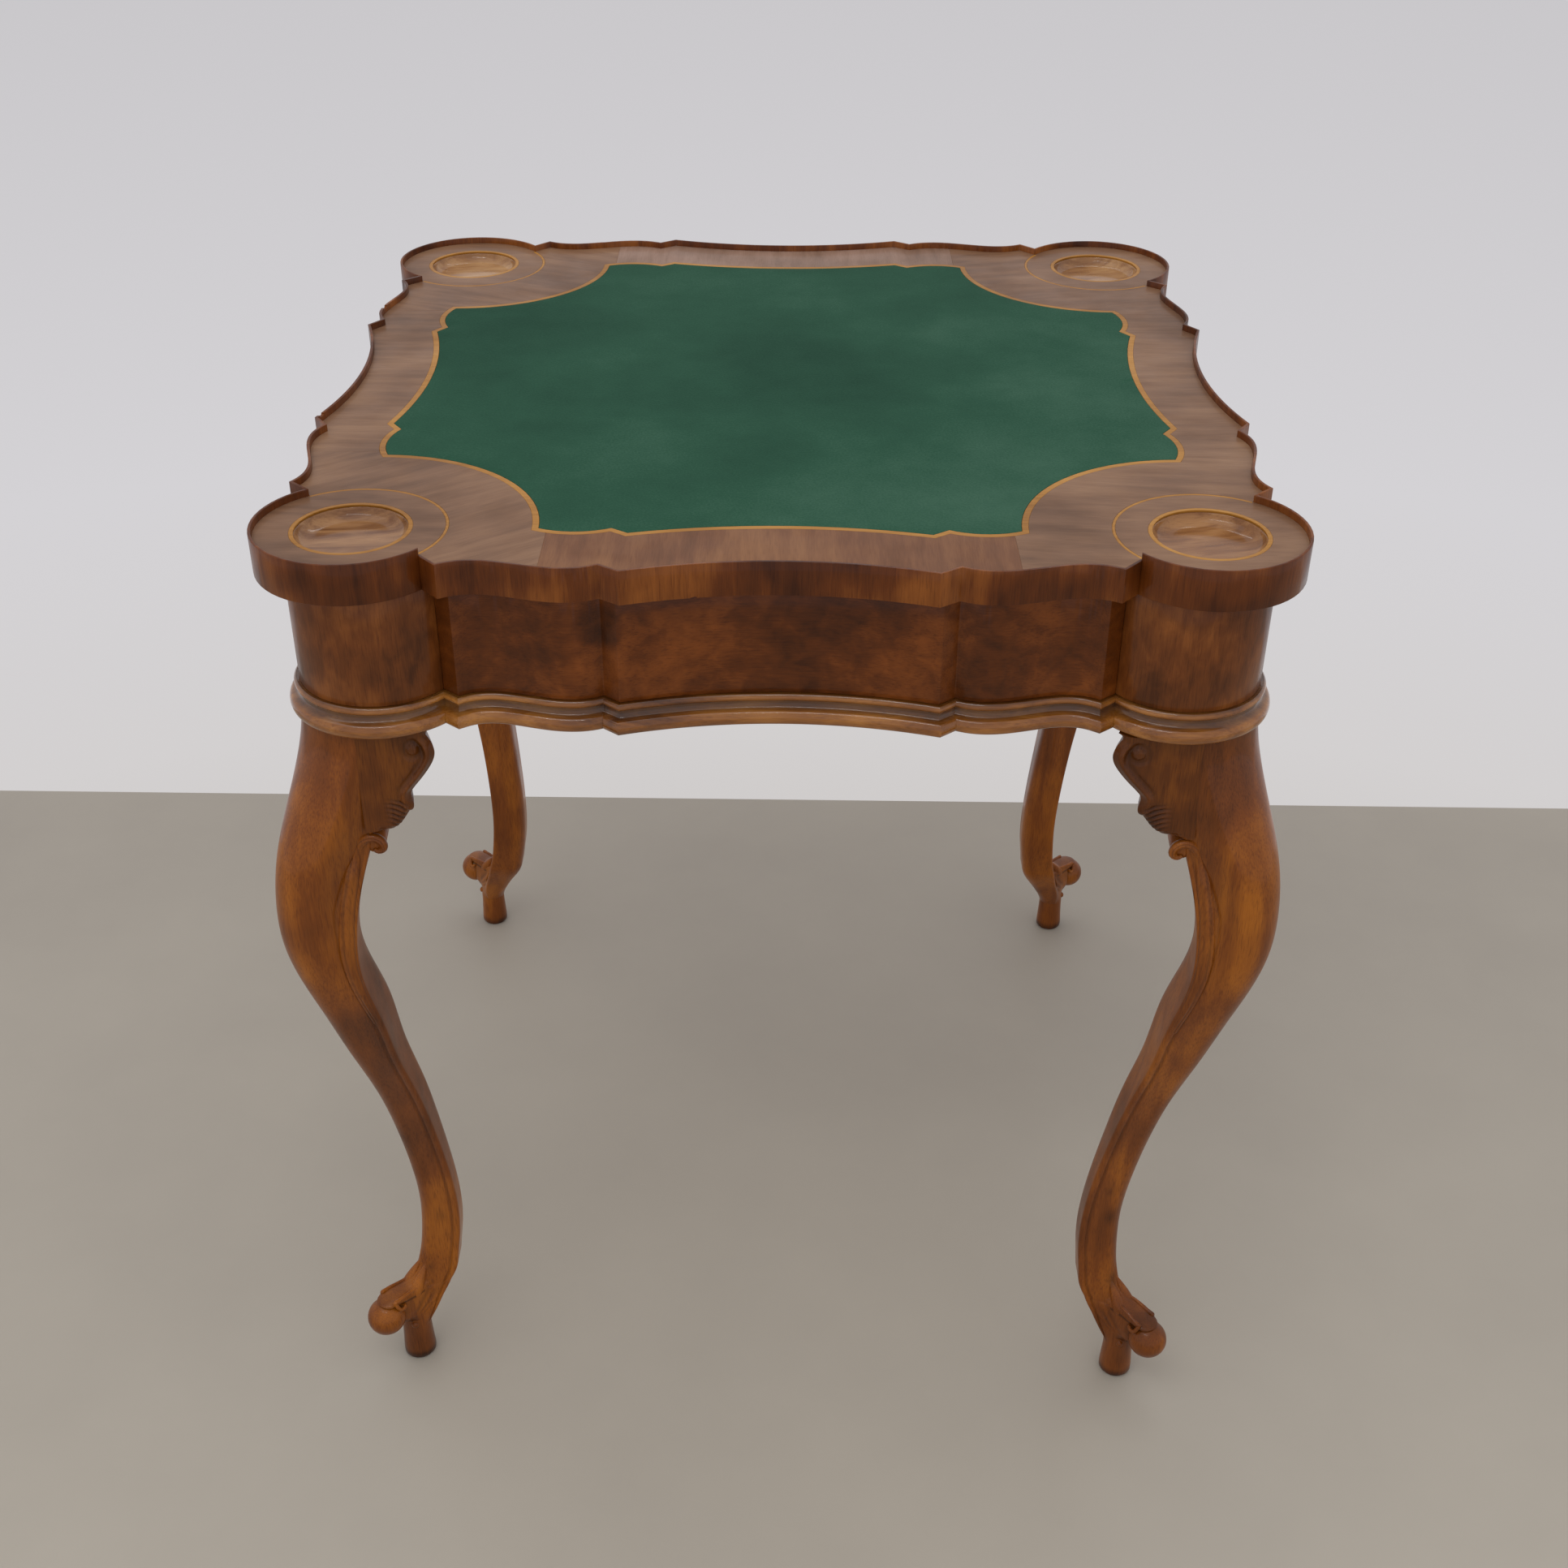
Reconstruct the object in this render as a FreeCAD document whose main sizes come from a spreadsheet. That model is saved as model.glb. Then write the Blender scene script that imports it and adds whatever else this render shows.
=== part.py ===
import FreeCAD, Part
import os
from math import sqrt

# A square games table with a serpentine outline. A loose top board, lined with baize and
# dished at its four round ears, lies on a veneered frame with four cabriole legs.
# The frame's origin is on the floor, under the middle of the table: +X right, +Y back, +Z up.
# Each side is drawn once, as the front one, and each corner once, as the back right one,
# and both are turned about the middle for the other three.

Vec = FreeCAD.Vector
UP = Vec(0, 0, 1)
doc = FreeCAD.newDocument("games_table")
sheet = doc.addObject("Spreadsheet::Sheet", "sizes")

# Driving dimensions, in millimetres. "Out" is a distance from the middle of the table.
SIZES = {
    # Heights
    "leg_height": 643,
    "frame_height": 106,
    "top_thickness": 24,
    "lip_height": 5,
    # Outline of the top board: round ears, and sides that bow in between two steps
    "ear_centre": 283,
    "ear_radius": 66,
    "side_rise": 46,
    "side_relief": 16,
    # Outline of the frame, which stays back from the top board
    "overhang": 21,
    "drum_inset": 8,
    "drum_radius": 57,
    # Outline of the baize
    "border_width": 54,
    "baize_relief": 12.5,
    # Thin skins on the top board
    "veneer_thickness": 1.6,
    "edge_thickness": 2,
    "string_width": 4.5,
    "ear_string_width": 2,
    "border_joint_along": 154,
    # Dishes turned in the ears
    "dish_radius": 37.5,
    "dish_floor_radius": 29,
    "dish_depth": 9.5,
    "dish_bottom": 4,
    "dish_block_radius": 44,
    "dish_ring_width": 3,
    # Battens under the top board
    "batten_width": 30,
    "batten_height": 20,
    "batten_clearance": 3,
    "screw_radius": 2,
    "screw_head_radius": 4.5,
    "screw_head_height": 3,
    "screw_grip": 12,
    "screw_spacing": 115,
    # Frame
    "rail_thickness": 28,
    "block_reach": 53,
    "tenon_thickness": 14,
    "tenon_height": 64,
    "tenon_length": 22,
    "tenon_shoulder": 6,
    "joint_clearance": 0.1,
    "burr_thickness": 1.6,
    "moulding_height": 22,
    "moulding_projection": 8.5,
    # Floor of the well inside the frame
    "ledger_width": 14,
    "ledger_height": 12,
    "well_floor_thickness": 8,
    "well_floor_clearance": 0.5,
    # Legs
    "leg_inset": 5,
    "leg_stock": 89,
    "leg_tenon_set": 28,
    "leg_tenon_radius": 14,
    "leg_tenon_length": 70,
    "foot_set": 46,
    "peg_radius": 13.5,
    "peg_neck_radius": 12,
    "peg_height": 46,
    "peg_chamfer": 1.5,
    "ball_set": 65.5,
    "ball_radius": 15.5,
    "ball_height": 56,
    "leaf_width": 35,
    "leaf_rounding": 5,
    "volute_radius": 9,
    "volute_drop": 90,
    "volute_set": 10,
    # Carved brackets beside the legs
    "bracket_reach": 46,
    "bracket_height": 87,
    "bracket_thickness": 28,
    "bracket_set": 62,
}
for row, (alias, value) in enumerate(SIZES.items(), start=1):
    sheet.set(f"A{row}", alias)
    sheet.set(f"B{row}", str(value))
    sheet.setAlias(f"B{row}", alias)
doc.recompute()


def size(alias):
    return float(getattr(sheet, alias))


# Levels and distances that several pieces share, as expressions and as numbers
FRAME_TOP = "sizes.leg_height + sizes.frame_height"
SURFACE = FRAME_TOP + " + sizes.top_thickness"
SKIN_BOTTOM = SURFACE + " - sizes.veneer_thickness"
RAIL_INNER = "(sizes.ear_centre + sizes.side_rise - sizes.overhang - sizes.rail_thickness)"
BLOCK_INNER = "(sizes.ear_centre - sizes.drum_inset - sizes.block_reach)"
leg_height = size("leg_height")
ear_centre = size("ear_centre")
drum_centre = ear_centre - size("drum_inset")
top_middle = ear_centre + size("side_rise")
frame_middle = top_middle - size("overhang")
rail_inner = frame_middle - size("rail_thickness")
block_inner = drum_centre - size("block_reach")
stock_inner = drum_centre - size("leg_inset")

SIDES = ["front", "right", "back", "left"]
CORNERS = ["back_right", "back_left", "front_left", "front_right"]
nodes = []


def keep(obj, label):
    """Gives a sub-part its name and puts it on the list of pieces to write."""
    obj.Label = label
    nodes.append(obj)
    return obj


# An outline is a list of stretches, each a kind and its points, running anticlockwise.
def edge_of(kind, points):
    if kind == "line":
        return Part.LineSegment(points[0], points[1]).toShape()
    if kind == "arc":
        return Part.Arc(*points).toShape()
    curve = Part.BSplineCurve()
    curve.interpolate(points)
    return curve.toShape()


def normals(kind, points):
    """Outward unit normals of a stretch at each of its points."""
    edge = edge_of(kind, points)
    result = []
    for point in points:
        tangent = edge.tangentAt(edge.Curve.parameter(point))
        result.append(Vec(tangent.y, -tangent.x, 0).normalize())
    return result


def offset_outline(outline, distance):
    """The same closed outline, a distance further out, with its corners mitred."""
    across = [normals(kind, points) for kind, points in outline]
    result = []
    for index, (kind, points) in enumerate(outline):
        before = across[index - 1][-1]
        after = across[(index + 1) % len(outline)][0]
        own = across[index]
        moved = [point + normal * distance for point, normal in zip(points, own)]
        moved[0] = points[0] + (before + own[0]) * (distance / (1 + before.dot(own[0])))
        moved[-1] = points[-1] + (after + own[-1]) * (distance / (1 + after.dot(own[-1])))
        result.append((kind, moved))
    return result


def turned(outline, quarters):
    rotation = FreeCAD.Rotation(UP, 90 * quarters)
    return [(kind, [rotation.multVec(point) for point in points]) for kind, points in outline]


def closed_ring(quarter):
    """Four turned copies of a quarter outline, end to end."""
    return [stretch for quarters in range(4) for stretch in turned(quarter, quarters)]


def lifted(outline, height):
    return [(kind, [point + UP * height for point in points]) for kind, points in outline]


def reversed_run(outline):
    return [(kind, points[::-1]) for kind, points in outline[::-1]]


def wire_of(outline):
    return Part.Wire([edge_of(kind, points) for kind, points in outline])


def face_of(outline):
    return Part.Face(wire_of(outline))


def front(along, out):
    """A point of the front side."""
    return Vec(along, -out, 0)


# Points of half a side, as shares: along it, of the ears' distance from the middle, and outward
# from the middle of its bow, of the relief. They are the step, the return inside it, the lobe,
# the hollow and the point before the notch beside the ear.
TOP_SIDE_SHARES = [(0.362, 1.0), (0.41, 0.41), (0.519, 0.75), (0.675, 0.125), (0.776, 0.53)]
FRAME_SIDE_SHARES = [(0.378, 1.0), (0.419, 0.41), (0.519, 0.75), (0.671, 0.125), (0.765, 0.53)]
BAIZE_SIDE_SHARES = [(0.355, 1.0), (0.394, 0.4), (0.477, 0.88), (0.564, 0.48)]
ear_notch_share = 0.777
drum_notch_share = 0.825
SIDE_RUN = 7


def side_points(shares, middle, relief):
    return [front(along * ear_centre, middle + rise * relief) for along, rise in shares]


def mirrored_side(half, bow_middle):
    """A whole side: half of it mirrored, the bow between the two steps, and the half itself."""
    mirrored = [(kind, [Vec(-p.x, p.y, 0) for p in points]) for kind, points in half]
    step = half[0][1][0]
    bow = ("arc", [Vec(-step.x, step.y, 0), front(0, bow_middle), step])
    return reversed_run(mirrored) + [bow] + half


def serpentine_quarter(shares, middle, centre, radius, notch_share):
    """Front side of the top board or the frame, and the round corner at its right end."""
    step, inner, lobe, hollow, point = side_points(shares, middle, size("side_relief"))
    notch_in = notch_share * radius
    notch = front(centre - notch_in, centre + sqrt(radius**2 - notch_in**2))
    half = [
        ("line", [step, inner]),
        ("curve", [inner, lobe, (lobe + hollow) * 0.5, hollow, point]),
        ("line", [point, notch]),
    ]
    round_out = centre + radius / sqrt(2)
    ear = ("arc", [notch, front(round_out, round_out), front(-notch.y, notch.x)])
    return mirrored_side(half, middle) + [ear]


def baize_quarter():
    """Front side of the baize, and the hollow arc round the ear at its right end."""
    middle = top_middle - size("border_width")
    step, inner, lobe, corner = side_points(BAIZE_SIDE_SHARES, middle, size("baize_relief"))
    sweep_radius = (corner - front(ear_centre, ear_centre)).Length
    nearest = ear_centre - sweep_radius / sqrt(2)
    half = [("line", [step, inner]), ("arc", [inner, lobe, corner])]
    sweep = ("arc", [corner, front(nearest, nearest), front(-corner.y, corner.x)])
    return mirrored_side(half, middle) + [sweep]


top_outline = closed_ring(
    serpentine_quarter(TOP_SIDE_SHARES, top_middle, ear_centre, size("ear_radius"), ear_notch_share)
)
drum_radius = size("drum_radius")
frame_outline = closed_ring(
    serpentine_quarter(FRAME_SIDE_SHARES, frame_middle, drum_centre, drum_radius, drum_notch_share)
)
baize_outline = closed_ring(baize_quarter())
string_outline = offset_outline(baize_outline, size("string_width"))
core_outline = offset_outline(top_outline, -size("edge_thickness"))
frame_core_outline = offset_outline(frame_outline, -size("burr_thickness"))
reach = 2 * top_middle


def rectangle(left, near, right, far):
    corners = [Vec(left, near), Vec(right, near), Vec(right, far), Vec(left, far)]
    return Part.Face(Part.makePolygon(corners + corners[:1]))


def side_strip(half_length, inner_out):
    """The ground that belongs to the front side."""
    return rectangle(-half_length, -reach, half_length, -inner_out)


def corner_square(inner_out):
    """The ground that belongs to the back right corner."""
    return rectangle(inner_out, inner_out, reach, reach)


def disc(radius, centre_out):
    return Part.Face(Part.Wire(Part.makeCircle(radius, Vec(centre_out, centre_out, 0))))


def profile(name, face):
    feature = doc.addObject("Part::Feature", name)
    feature.Shape = face
    return feature


def extruded(base, height, bottom, quarters=0):
    """A flat shape raised by a height from a level, turned a number of quarters."""
    solid = doc.addObject("Part::Extrusion", base.Name + "_solid")
    solid.Base = base
    solid.DirMode = "Custom"
    solid.Dir = UP
    solid.Solid = True
    solid.setExpression("LengthFwd", height)
    solid.Placement = FreeCAD.Placement(Vec(), FreeCAD.Rotation(UP, 90 * quarters))
    solid.setExpression("Placement.Base.z", bottom)
    return solid


def four_turned(base, height, bottom):
    return [extruded(base, height, bottom, quarters) for quarters in range(4)]


def grouped(name, members):
    group = doc.addObject("Part::Compound", name)
    group.Links = members
    return group


def cut(name, base, tool):
    result = doc.addObject("Part::Cut", name)
    result.Base = base
    result.Tool = tool
    return result


# Baize, stringing and border veneers on the top board
string_face = face_of(string_outline).cut(face_of(baize_outline))
baize = extruded(profile("baize_profile", face_of(baize_outline)), "sizes.veneer_thickness", SKIN_BOTTOM)
keep(baize, "baize")
stringing = extruded(profile("string_profile", string_face), "sizes.veneer_thickness", SKIN_BOTTOM)
keep(stringing, "baize_stringing")


def far_arc(points):
    """The rest of an arc's circle, between the same ends."""
    return [points[0], edge_of("arc", points).Curve.Center * 2 - points[1], points[2]]


def is_ear(index):
    return index % (SIDE_RUN + 1) == SIDE_RUN


# The border veneer ends at the stringing that carries each ear's round edge on across the top.
border_outline = [
    (kind, far_arc(points) if is_ear(index) else points)
    for index, (kind, points) in enumerate(core_outline)
]
border_face = face_of(border_outline).cut(face_of(string_outline))
joint_along = size("border_joint_along")
border_side = profile("border_profile", border_face.common(side_strip(joint_along, 0)))
for quarters, side in enumerate(SIDES):
    keep(extruded(border_side, "sizes.veneer_thickness", SKIN_BOTTOM, quarters), "border_" + side)
corner_profile = profile("corner_profile", border_face.common(corner_square(joint_along)))
for quarters, corner in enumerate(CORNERS):
    corner_veneer = extruded(corner_profile, "sizes.veneer_thickness", SKIN_BOTTOM, quarters)
    keep(corner_veneer, "corner_veneer_" + corner)

# The back right ear: its outer arc, and the two arcs of the stringing on its inner side
ear_arc = core_outline[2 * SIDE_RUN + 1][1]
string_outer = far_arc(ear_arc)
ear_middle = edge_of("arc", ear_arc).Curve.Center
inward_share = 1 - size("ear_string_width") / (ear_arc[0] - ear_middle).Length
string_inner = [ear_middle + (point - ear_middle) * inward_share for point in string_outer]


def ear_band(outer, inner):
    ends = [("line", [outer[2], inner[2]]), ("arc", inner[::-1]), ("line", [inner[0], outer[0]])]
    return face_of([("arc", outer)] + ends)


ring_radius = size("dish_radius") + size("dish_ring_width")
for label, face in (
    ("ear_veneers", ear_band(ear_arc, string_inner).cut(disc(ring_radius, ear_centre))),
    ("ear_stringing", ear_band(string_outer, string_inner)),
    ("dish_rings", disc(ring_radius, ear_centre).cut(disc(size("dish_radius"), ear_centre))),
):
    members = four_turned(profile(label + "_profile", face), "sizes.veneer_thickness", SKIN_BOTTOM)
    keep(grouped(label + "_group", members), label)

# Cross-grained edging. It stands above the surface as a lip, but not along the front.
def mitre(outline, inner, first, count):
    """The band between two outlines over a run of their stretches."""
    outer_run = outline[first : first + count]
    inner_run = inner[first : first + count]
    closing = ("line", [outer_run[-1][1][-1], inner_run[-1][1][-1]])
    opening = ("line", [inner_run[0][1][0], outer_run[0][1][0]])
    return outer_run + [closing] + reversed_run(inner_run) + [opening]


edge_side = profile("edge_side_profile", face_of(mitre(top_outline, core_outline, 0, SIDE_RUN)))
LIPPED = "sizes.top_thickness + sizes.lip_height"
for quarters, side in enumerate(SIDES):
    edge_height = "sizes.top_thickness" if side == "front" else LIPPED
    keep(extruded(edge_side, edge_height, FRAME_TOP, quarters), "edge_" + side)
edge_ear = profile("edge_ear_profile", face_of(mitre(top_outline, core_outline, SIDE_RUN, 1)))
keep(grouped("edge_ears_group", four_turned(edge_ear, LIPPED, FRAME_TOP)), "edge_ears")

# Turned dishes, let into the core under the veneer
cove_width_share = 0.2
cove_depth_share = 0.75
recess_radius = size("dish_radius")
recess_height = size("dish_depth") - size("veneer_thickness")
for quarters, corner in enumerate(CORNERS):
    body = doc.addObject("PartDesign::Body", "dish_" + corner + "_body")
    section = body.newObject("Sketcher::SketchObject", "dish_" + corner + "_section")
    plane = [face for face in body.Origin.OriginFeatures if face.Role == "XZ_Plane"][0]
    section.AttachmentSupport = [(plane, "")]
    section.MapMode = "FlatFace"
    wall = recess_radius - size("dish_floor_radius")
    outline_points = [
        Vec(0, -recess_height - size("dish_bottom"), 0),
        Vec(size("dish_block_radius"), -recess_height - size("dish_bottom"), 0),
        Vec(size("dish_block_radius"), 0, 0),
        Vec(recess_radius, 0, 0),
        Vec(size("dish_floor_radius"), -recess_height, 0),
        Vec(0, -recess_height, 0),
    ]
    lines = [(0, 1), (1, 2), (2, 3), (4, 5), (5, 0)]
    for first, last in lines:
        section.addGeometry(Part.LineSegment(outline_points[first], outline_points[last]))
    hollow = Vec(recess_radius - wall * cove_width_share, -recess_height * cove_depth_share, 0)
    section.addGeometry(Part.Arc(outline_points[3], hollow, outline_points[4]))
    revolution = body.newObject("PartDesign::Revolution", "dish_" + corner + "_turning")
    revolution.Profile = section
    revolution.ReferenceAxis = (section, ["V_Axis"])
    revolution.Angle = 360
    turn = FreeCAD.Rotation(UP, 90 * quarters)
    body.Placement = FreeCAD.Placement(turn.multVec(Vec(ear_centre, ear_centre, 0)), turn)
    body.setExpression("Placement.Base.z", SKIN_BOTTOM)
    keep(body, "dish_" + corner)

# Core of the top board, with a blind hole for each dish
CORE_THICKNESS = "sizes.top_thickness - sizes.veneer_thickness"
core_block = extruded(profile("core_profile", face_of(core_outline)), CORE_THICKNESS, FRAME_TOP)
hole = profile("dish_hole_profile", disc(size("dish_block_radius"), ear_centre))
DISH_BODY = "sizes.dish_depth - sizes.veneer_thickness + sizes.dish_bottom"
dish_holes = grouped("dish_holes", four_turned(hole, DISH_BODY, f"{SKIN_BOTTOM} - ({DISH_BODY})"))
core_with_holes = cut("core_with_dish_holes", core_block, dish_holes)

# Battens under the board, which keep it in place on the frame, and their screws
screws = []
battens = []
for sign, side in ((-1, "left"), (1, "right")):
    batten = doc.addObject("Part::Box", "batten_" + side + "_bar")
    batten.setExpression("Length", "sizes.batten_width")
    batten.setExpression("Width", f"2 * ({BLOCK_INNER} - sizes.batten_clearance)")
    batten.setExpression("Height", "sizes.batten_height")
    outer = f"{RAIL_INNER} - sizes.batten_clearance"
    left = f"{outer} - sizes.batten_width" if sign > 0 else f"-({outer})"
    batten.setExpression("Placement.Base.x", left)
    batten.setExpression("Placement.Base.y", f"sizes.batten_clearance - {BLOCK_INNER}")
    batten.setExpression("Placement.Base.z", FRAME_TOP + " - sizes.batten_height")
    battens.append((batten, side))
    for number in range(4):
        head = doc.addObject("Part::Cone", f"screw_head_{side}_{number}")
        head.setExpression("Radius1", "sizes.screw_head_radius")
        head.setExpression("Radius2", "sizes.screw_radius")
        head.setExpression("Height", "sizes.screw_head_height")
        shank = doc.addObject("Part::Cylinder", f"screw_shank_{side}_{number}")
        shank.setExpression("Radius", "sizes.screw_radius")
        shank.setExpression("Height", "sizes.batten_height + sizes.screw_grip")
        for piece in (head, shank):
            piece.setExpression("Placement.Base.x", f"{sign} * ({outer} - sizes.batten_width / 2)")
            piece.setExpression("Placement.Base.y", f"({number} - 1.5) * sizes.screw_spacing")
            piece.setExpression("Placement.Base.z", FRAME_TOP + " - sizes.batten_height")
        screw = doc.addObject("Part::Fuse", f"screw_{side}_{number}")
        screw.Base = head
        screw.Tool = shank
        screws.append(screw)
screw_group = keep(grouped("batten_screws_group", screws), "batten_screws")
for batten, side in battens:
    keep(cut("batten_" + side + "_bored", batten, screw_group), "batten_" + side)
keep(cut("top_core_bored", core_with_holes, screw_group), "top_core")

# Frame: four shaped rails, tenoned into four round corner blocks
frame_core_face = face_of(frame_core_outline)
rail_profile = profile("rail_profile", frame_core_face.common(side_strip(block_inner, rail_inner)))
block_profile = profile("block_profile", frame_core_face.common(corner_square(block_inner)))
TENON_BOTTOM = "sizes.leg_height + (sizes.frame_height - sizes.tenon_height) / 2"
for quarters, side in enumerate(SIDES):
    body_of_rail = extruded(rail_profile, "sizes.frame_height", "sizes.leg_height", quarters)
    tenon = doc.addObject("Part::Box", "tenon_" + side)
    tenon.setExpression("Length", f"2 * ({BLOCK_INNER} + sizes.tenon_length)")
    tenon.setExpression("Width", "sizes.tenon_thickness")
    tenon.setExpression("Height", "sizes.tenon_height")
    turn = FreeCAD.Rotation(UP, 90 * quarters)
    near_left = Vec(
        -block_inner - size("tenon_length"),
        -rail_inner - size("tenon_shoulder") - size("tenon_thickness"),
        0,
    )
    tenon.Placement = FreeCAD.Placement(turn.multVec(near_left), turn)
    tenon.setExpression("Placement.Base.z", TENON_BOTTOM)
    rail = doc.addObject("Part::Fuse", "rail_" + side + "_tenoned")
    rail.Base = body_of_rail
    rail.Tool = tenon
    keep(rail, "rail_" + side)


def mortise_tools(quarters):
    """Slots for the two rail tenons and the round hole for the leg's tenon in one block."""
    gap = size("joint_clearance")
    middle = rail_inner + size("tenon_shoulder") + size("tenon_thickness") / 2
    half = size("tenon_thickness") / 2 + gap
    end = block_inner + size("tenon_length") + gap
    first = rectangle(0, middle - half, end, middle + half)
    second = rectangle(middle - half, 0, middle + half, end)
    slots = profile("mortises_" + CORNERS[quarters], Part.makeCompound([first, second]))
    opening = extruded(
        slots,
        "sizes.tenon_height + 2 * sizes.joint_clearance",
        TENON_BOTTOM + " - sizes.joint_clearance",
        quarters,
    )
    bore = disc(size("leg_tenon_radius") + gap, stock_inner + size("leg_tenon_set"))
    bore_profile = profile("leg_mortise_" + CORNERS[quarters], bore)
    hole_depth = "sizes.leg_tenon_length + sizes.joint_clearance"
    hole = extruded(bore_profile, hole_depth, "sizes.leg_height", quarters)
    return grouped("mortise_tools_" + CORNERS[quarters], [opening, hole])


for quarters, corner in enumerate(CORNERS):
    block = extruded(block_profile, "sizes.frame_height", "sizes.leg_height", quarters)
    keep(cut("block_" + corner + "_mortised", block, mortise_tools(quarters)), "corner_block_" + corner)

# Burr veneer on the rails and round the blocks, above the moulding
BURR_HEIGHT = "sizes.frame_height - sizes.moulding_height"
BURR_BOTTOM = "sizes.leg_height + sizes.moulding_height"
burr_side = profile("burr_profile", face_of(mitre(frame_outline, frame_core_outline, 0, SIDE_RUN)))
for quarters, side in enumerate(SIDES):
    keep(extruded(burr_side, BURR_HEIGHT, BURR_BOTTOM, quarters), "burr_veneer_" + side)
burr_drum = profile("burr_drum_profile", face_of(mitre(frame_outline, frame_core_outline, SIDE_RUN, 1)))
keep(grouped("drum_veneers_group", four_turned(burr_drum, BURR_HEIGHT, BURR_BOTTOM)), "drum_veneers")

# Bottom moulding: a half round, a cove and a small bead, as shares of its height and projection
MOULDING_SHARES = [
    (0.00, 0.55),
    (0.05, 0.80),
    (0.14, 0.95),
    (0.26, 1.00),
    (0.38, 0.93),
    (0.48, 0.72),
    (0.54, 0.42),
    (0.62, 0.27),
    (0.76, 0.22),
    (0.80, 0.38),
    (0.88, 0.47),
    (0.96, 0.38),
    (1.00, 0.20),
]


def moulding(name, first, count):
    levels = []
    for height_share, projection_share in MOULDING_SHARES:
        outer = offset_outline(frame_outline, projection_share * size("moulding_projection"))
        band = mitre(outer, frame_core_outline, first, count)
        levels.append(wire_of(lifted(band, height_share * size("moulding_height"))))
    feature = doc.addObject("Part::Feature", name)
    feature.Shape = Part.makeLoft(levels, True, True)
    return feature


def turned_copy(base, name, quarters, bottom):
    copy = doc.addObject("Part::Feature", name)
    copy.Shape = base.Shape.copy()
    copy.Placement = FreeCAD.Placement(Vec(0, 0, 0), FreeCAD.Rotation(UP, 90 * quarters))
    copy.setExpression("Placement.Base.z", bottom)
    return copy


side_moulding = moulding("side_moulding", 0, SIDE_RUN)
corner_moulding = moulding("corner_moulding", SIDE_RUN, 1)
for quarters, side in enumerate(SIDES):
    length = turned_copy(side_moulding, "moulding_" + side, quarters, "sizes.leg_height")
    keep(length, "moulding_" + side)
corner_mouldings = [
    turned_copy(corner_moulding, f"corner_moulding_{quarters}", quarters, "sizes.leg_height")
    for quarters in range(4)
]
keep(grouped("corner_mouldings_group", corner_mouldings), "corner_mouldings")

# Ledger strips and the floor of the well
ledger_profile = profile(
    "ledger_profile",
    rectangle(-block_inner, -rail_inner, block_inner, size("ledger_width") - rail_inner),
)
ledgers = four_turned(ledger_profile, "sizes.ledger_height", "sizes.leg_height")
keep(grouped("ledger_strips_group", ledgers), "ledger_strips")
floor_half = rail_inner - size("well_floor_clearance")
floor_cross = block_inner - size("well_floor_clearance")
floor_long = rectangle(-floor_half, -floor_cross, floor_half, floor_cross)
floor_wide = rectangle(-floor_cross, -floor_half, floor_cross, floor_half)
floor_profile = profile("well_floor_profile", floor_long.fuse(floor_wide).removeSplitter())
LEDGER_TOP = "sizes.leg_height + sizes.ledger_height"
well_floor = extruded(floor_profile, "sizes.well_floor_thickness", LEDGER_TOP)
keep(well_floor, "well_floor")

# Cabriole leg, cut from square stock on two faces. Each station gives, as shares, its height
# on the leg, its inner and outer faces on the stock, and the rounding of its outer corner, of
# its side corners and of its inner corner.
LEG_STATION_SHARES = [
    (1.000, 0.100, 0.695, 0.520, 0.045, 0.045),
    (0.942, 0.107, 0.760, 0.470, 0.045, 0.060),
    (0.894, 0.125, 0.855, 0.390, 0.056, 0.100),
    (0.848, 0.180, 0.940, 0.325, 0.067, 0.250),
    (0.796, 0.270, 0.988, 0.270, 0.080, 0.420),
    (0.739, 0.355, 0.983, 0.225, 0.090, 0.330),
    (0.684, 0.360, 0.918, 0.200, 0.090, 0.220),
    (0.622, 0.292, 0.812, 0.180, 0.090, 0.150),
    (0.544, 0.236, 0.680, 0.157, 0.080, 0.140),
    (0.467, 0.152, 0.545, 0.135, 0.080, 0.140),
    (0.389, 0.079, 0.447, 0.112, 0.067, 0.170),
    (0.311, 0.022, 0.386, 0.112, 0.067, 0.200),
    (0.249, 0.000, 0.368, 0.112, 0.067, 0.200),
    (0.199, 0.017, 0.391, 0.112, 0.067, 0.180),
    (0.162, 0.060, 0.460, 0.112, 0.067, 0.150),
    (0.134, 0.085, 0.570, 0.135, 0.090, 0.150),
    (0.103, 0.135, 0.650, 0.135, 0.112, 0.150),
    (0.075, 0.200, 0.620, 0.135, 0.112, 0.150),
    (0.056, 0.265, 0.600, 0.135, 0.112, 0.150),
]
stock = size("leg_stock")

# How far each foot stands from its regular place, to the right and to the back, as shares of
# the stock. The legs were set by eye: they lean more and more from top to foot.
FOOT_LEAN_SHARES = {
    "back_right": (-0.11, 0.06),
    "back_left": (-0.15, 0.09),
    "front_left": (0.06, 0.18),
    "front_right": (-0.27, 0.02),
}
lean_growth_power = 1.5


def lean_share(level):
    """How much of its foot's lean a level of the leg has: all of it below the top of the ball."""
    ball_top = size("ball_height") + size("ball_radius")
    return min((leg_height - level) / (leg_height - ball_top), 1) ** lean_growth_power


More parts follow.
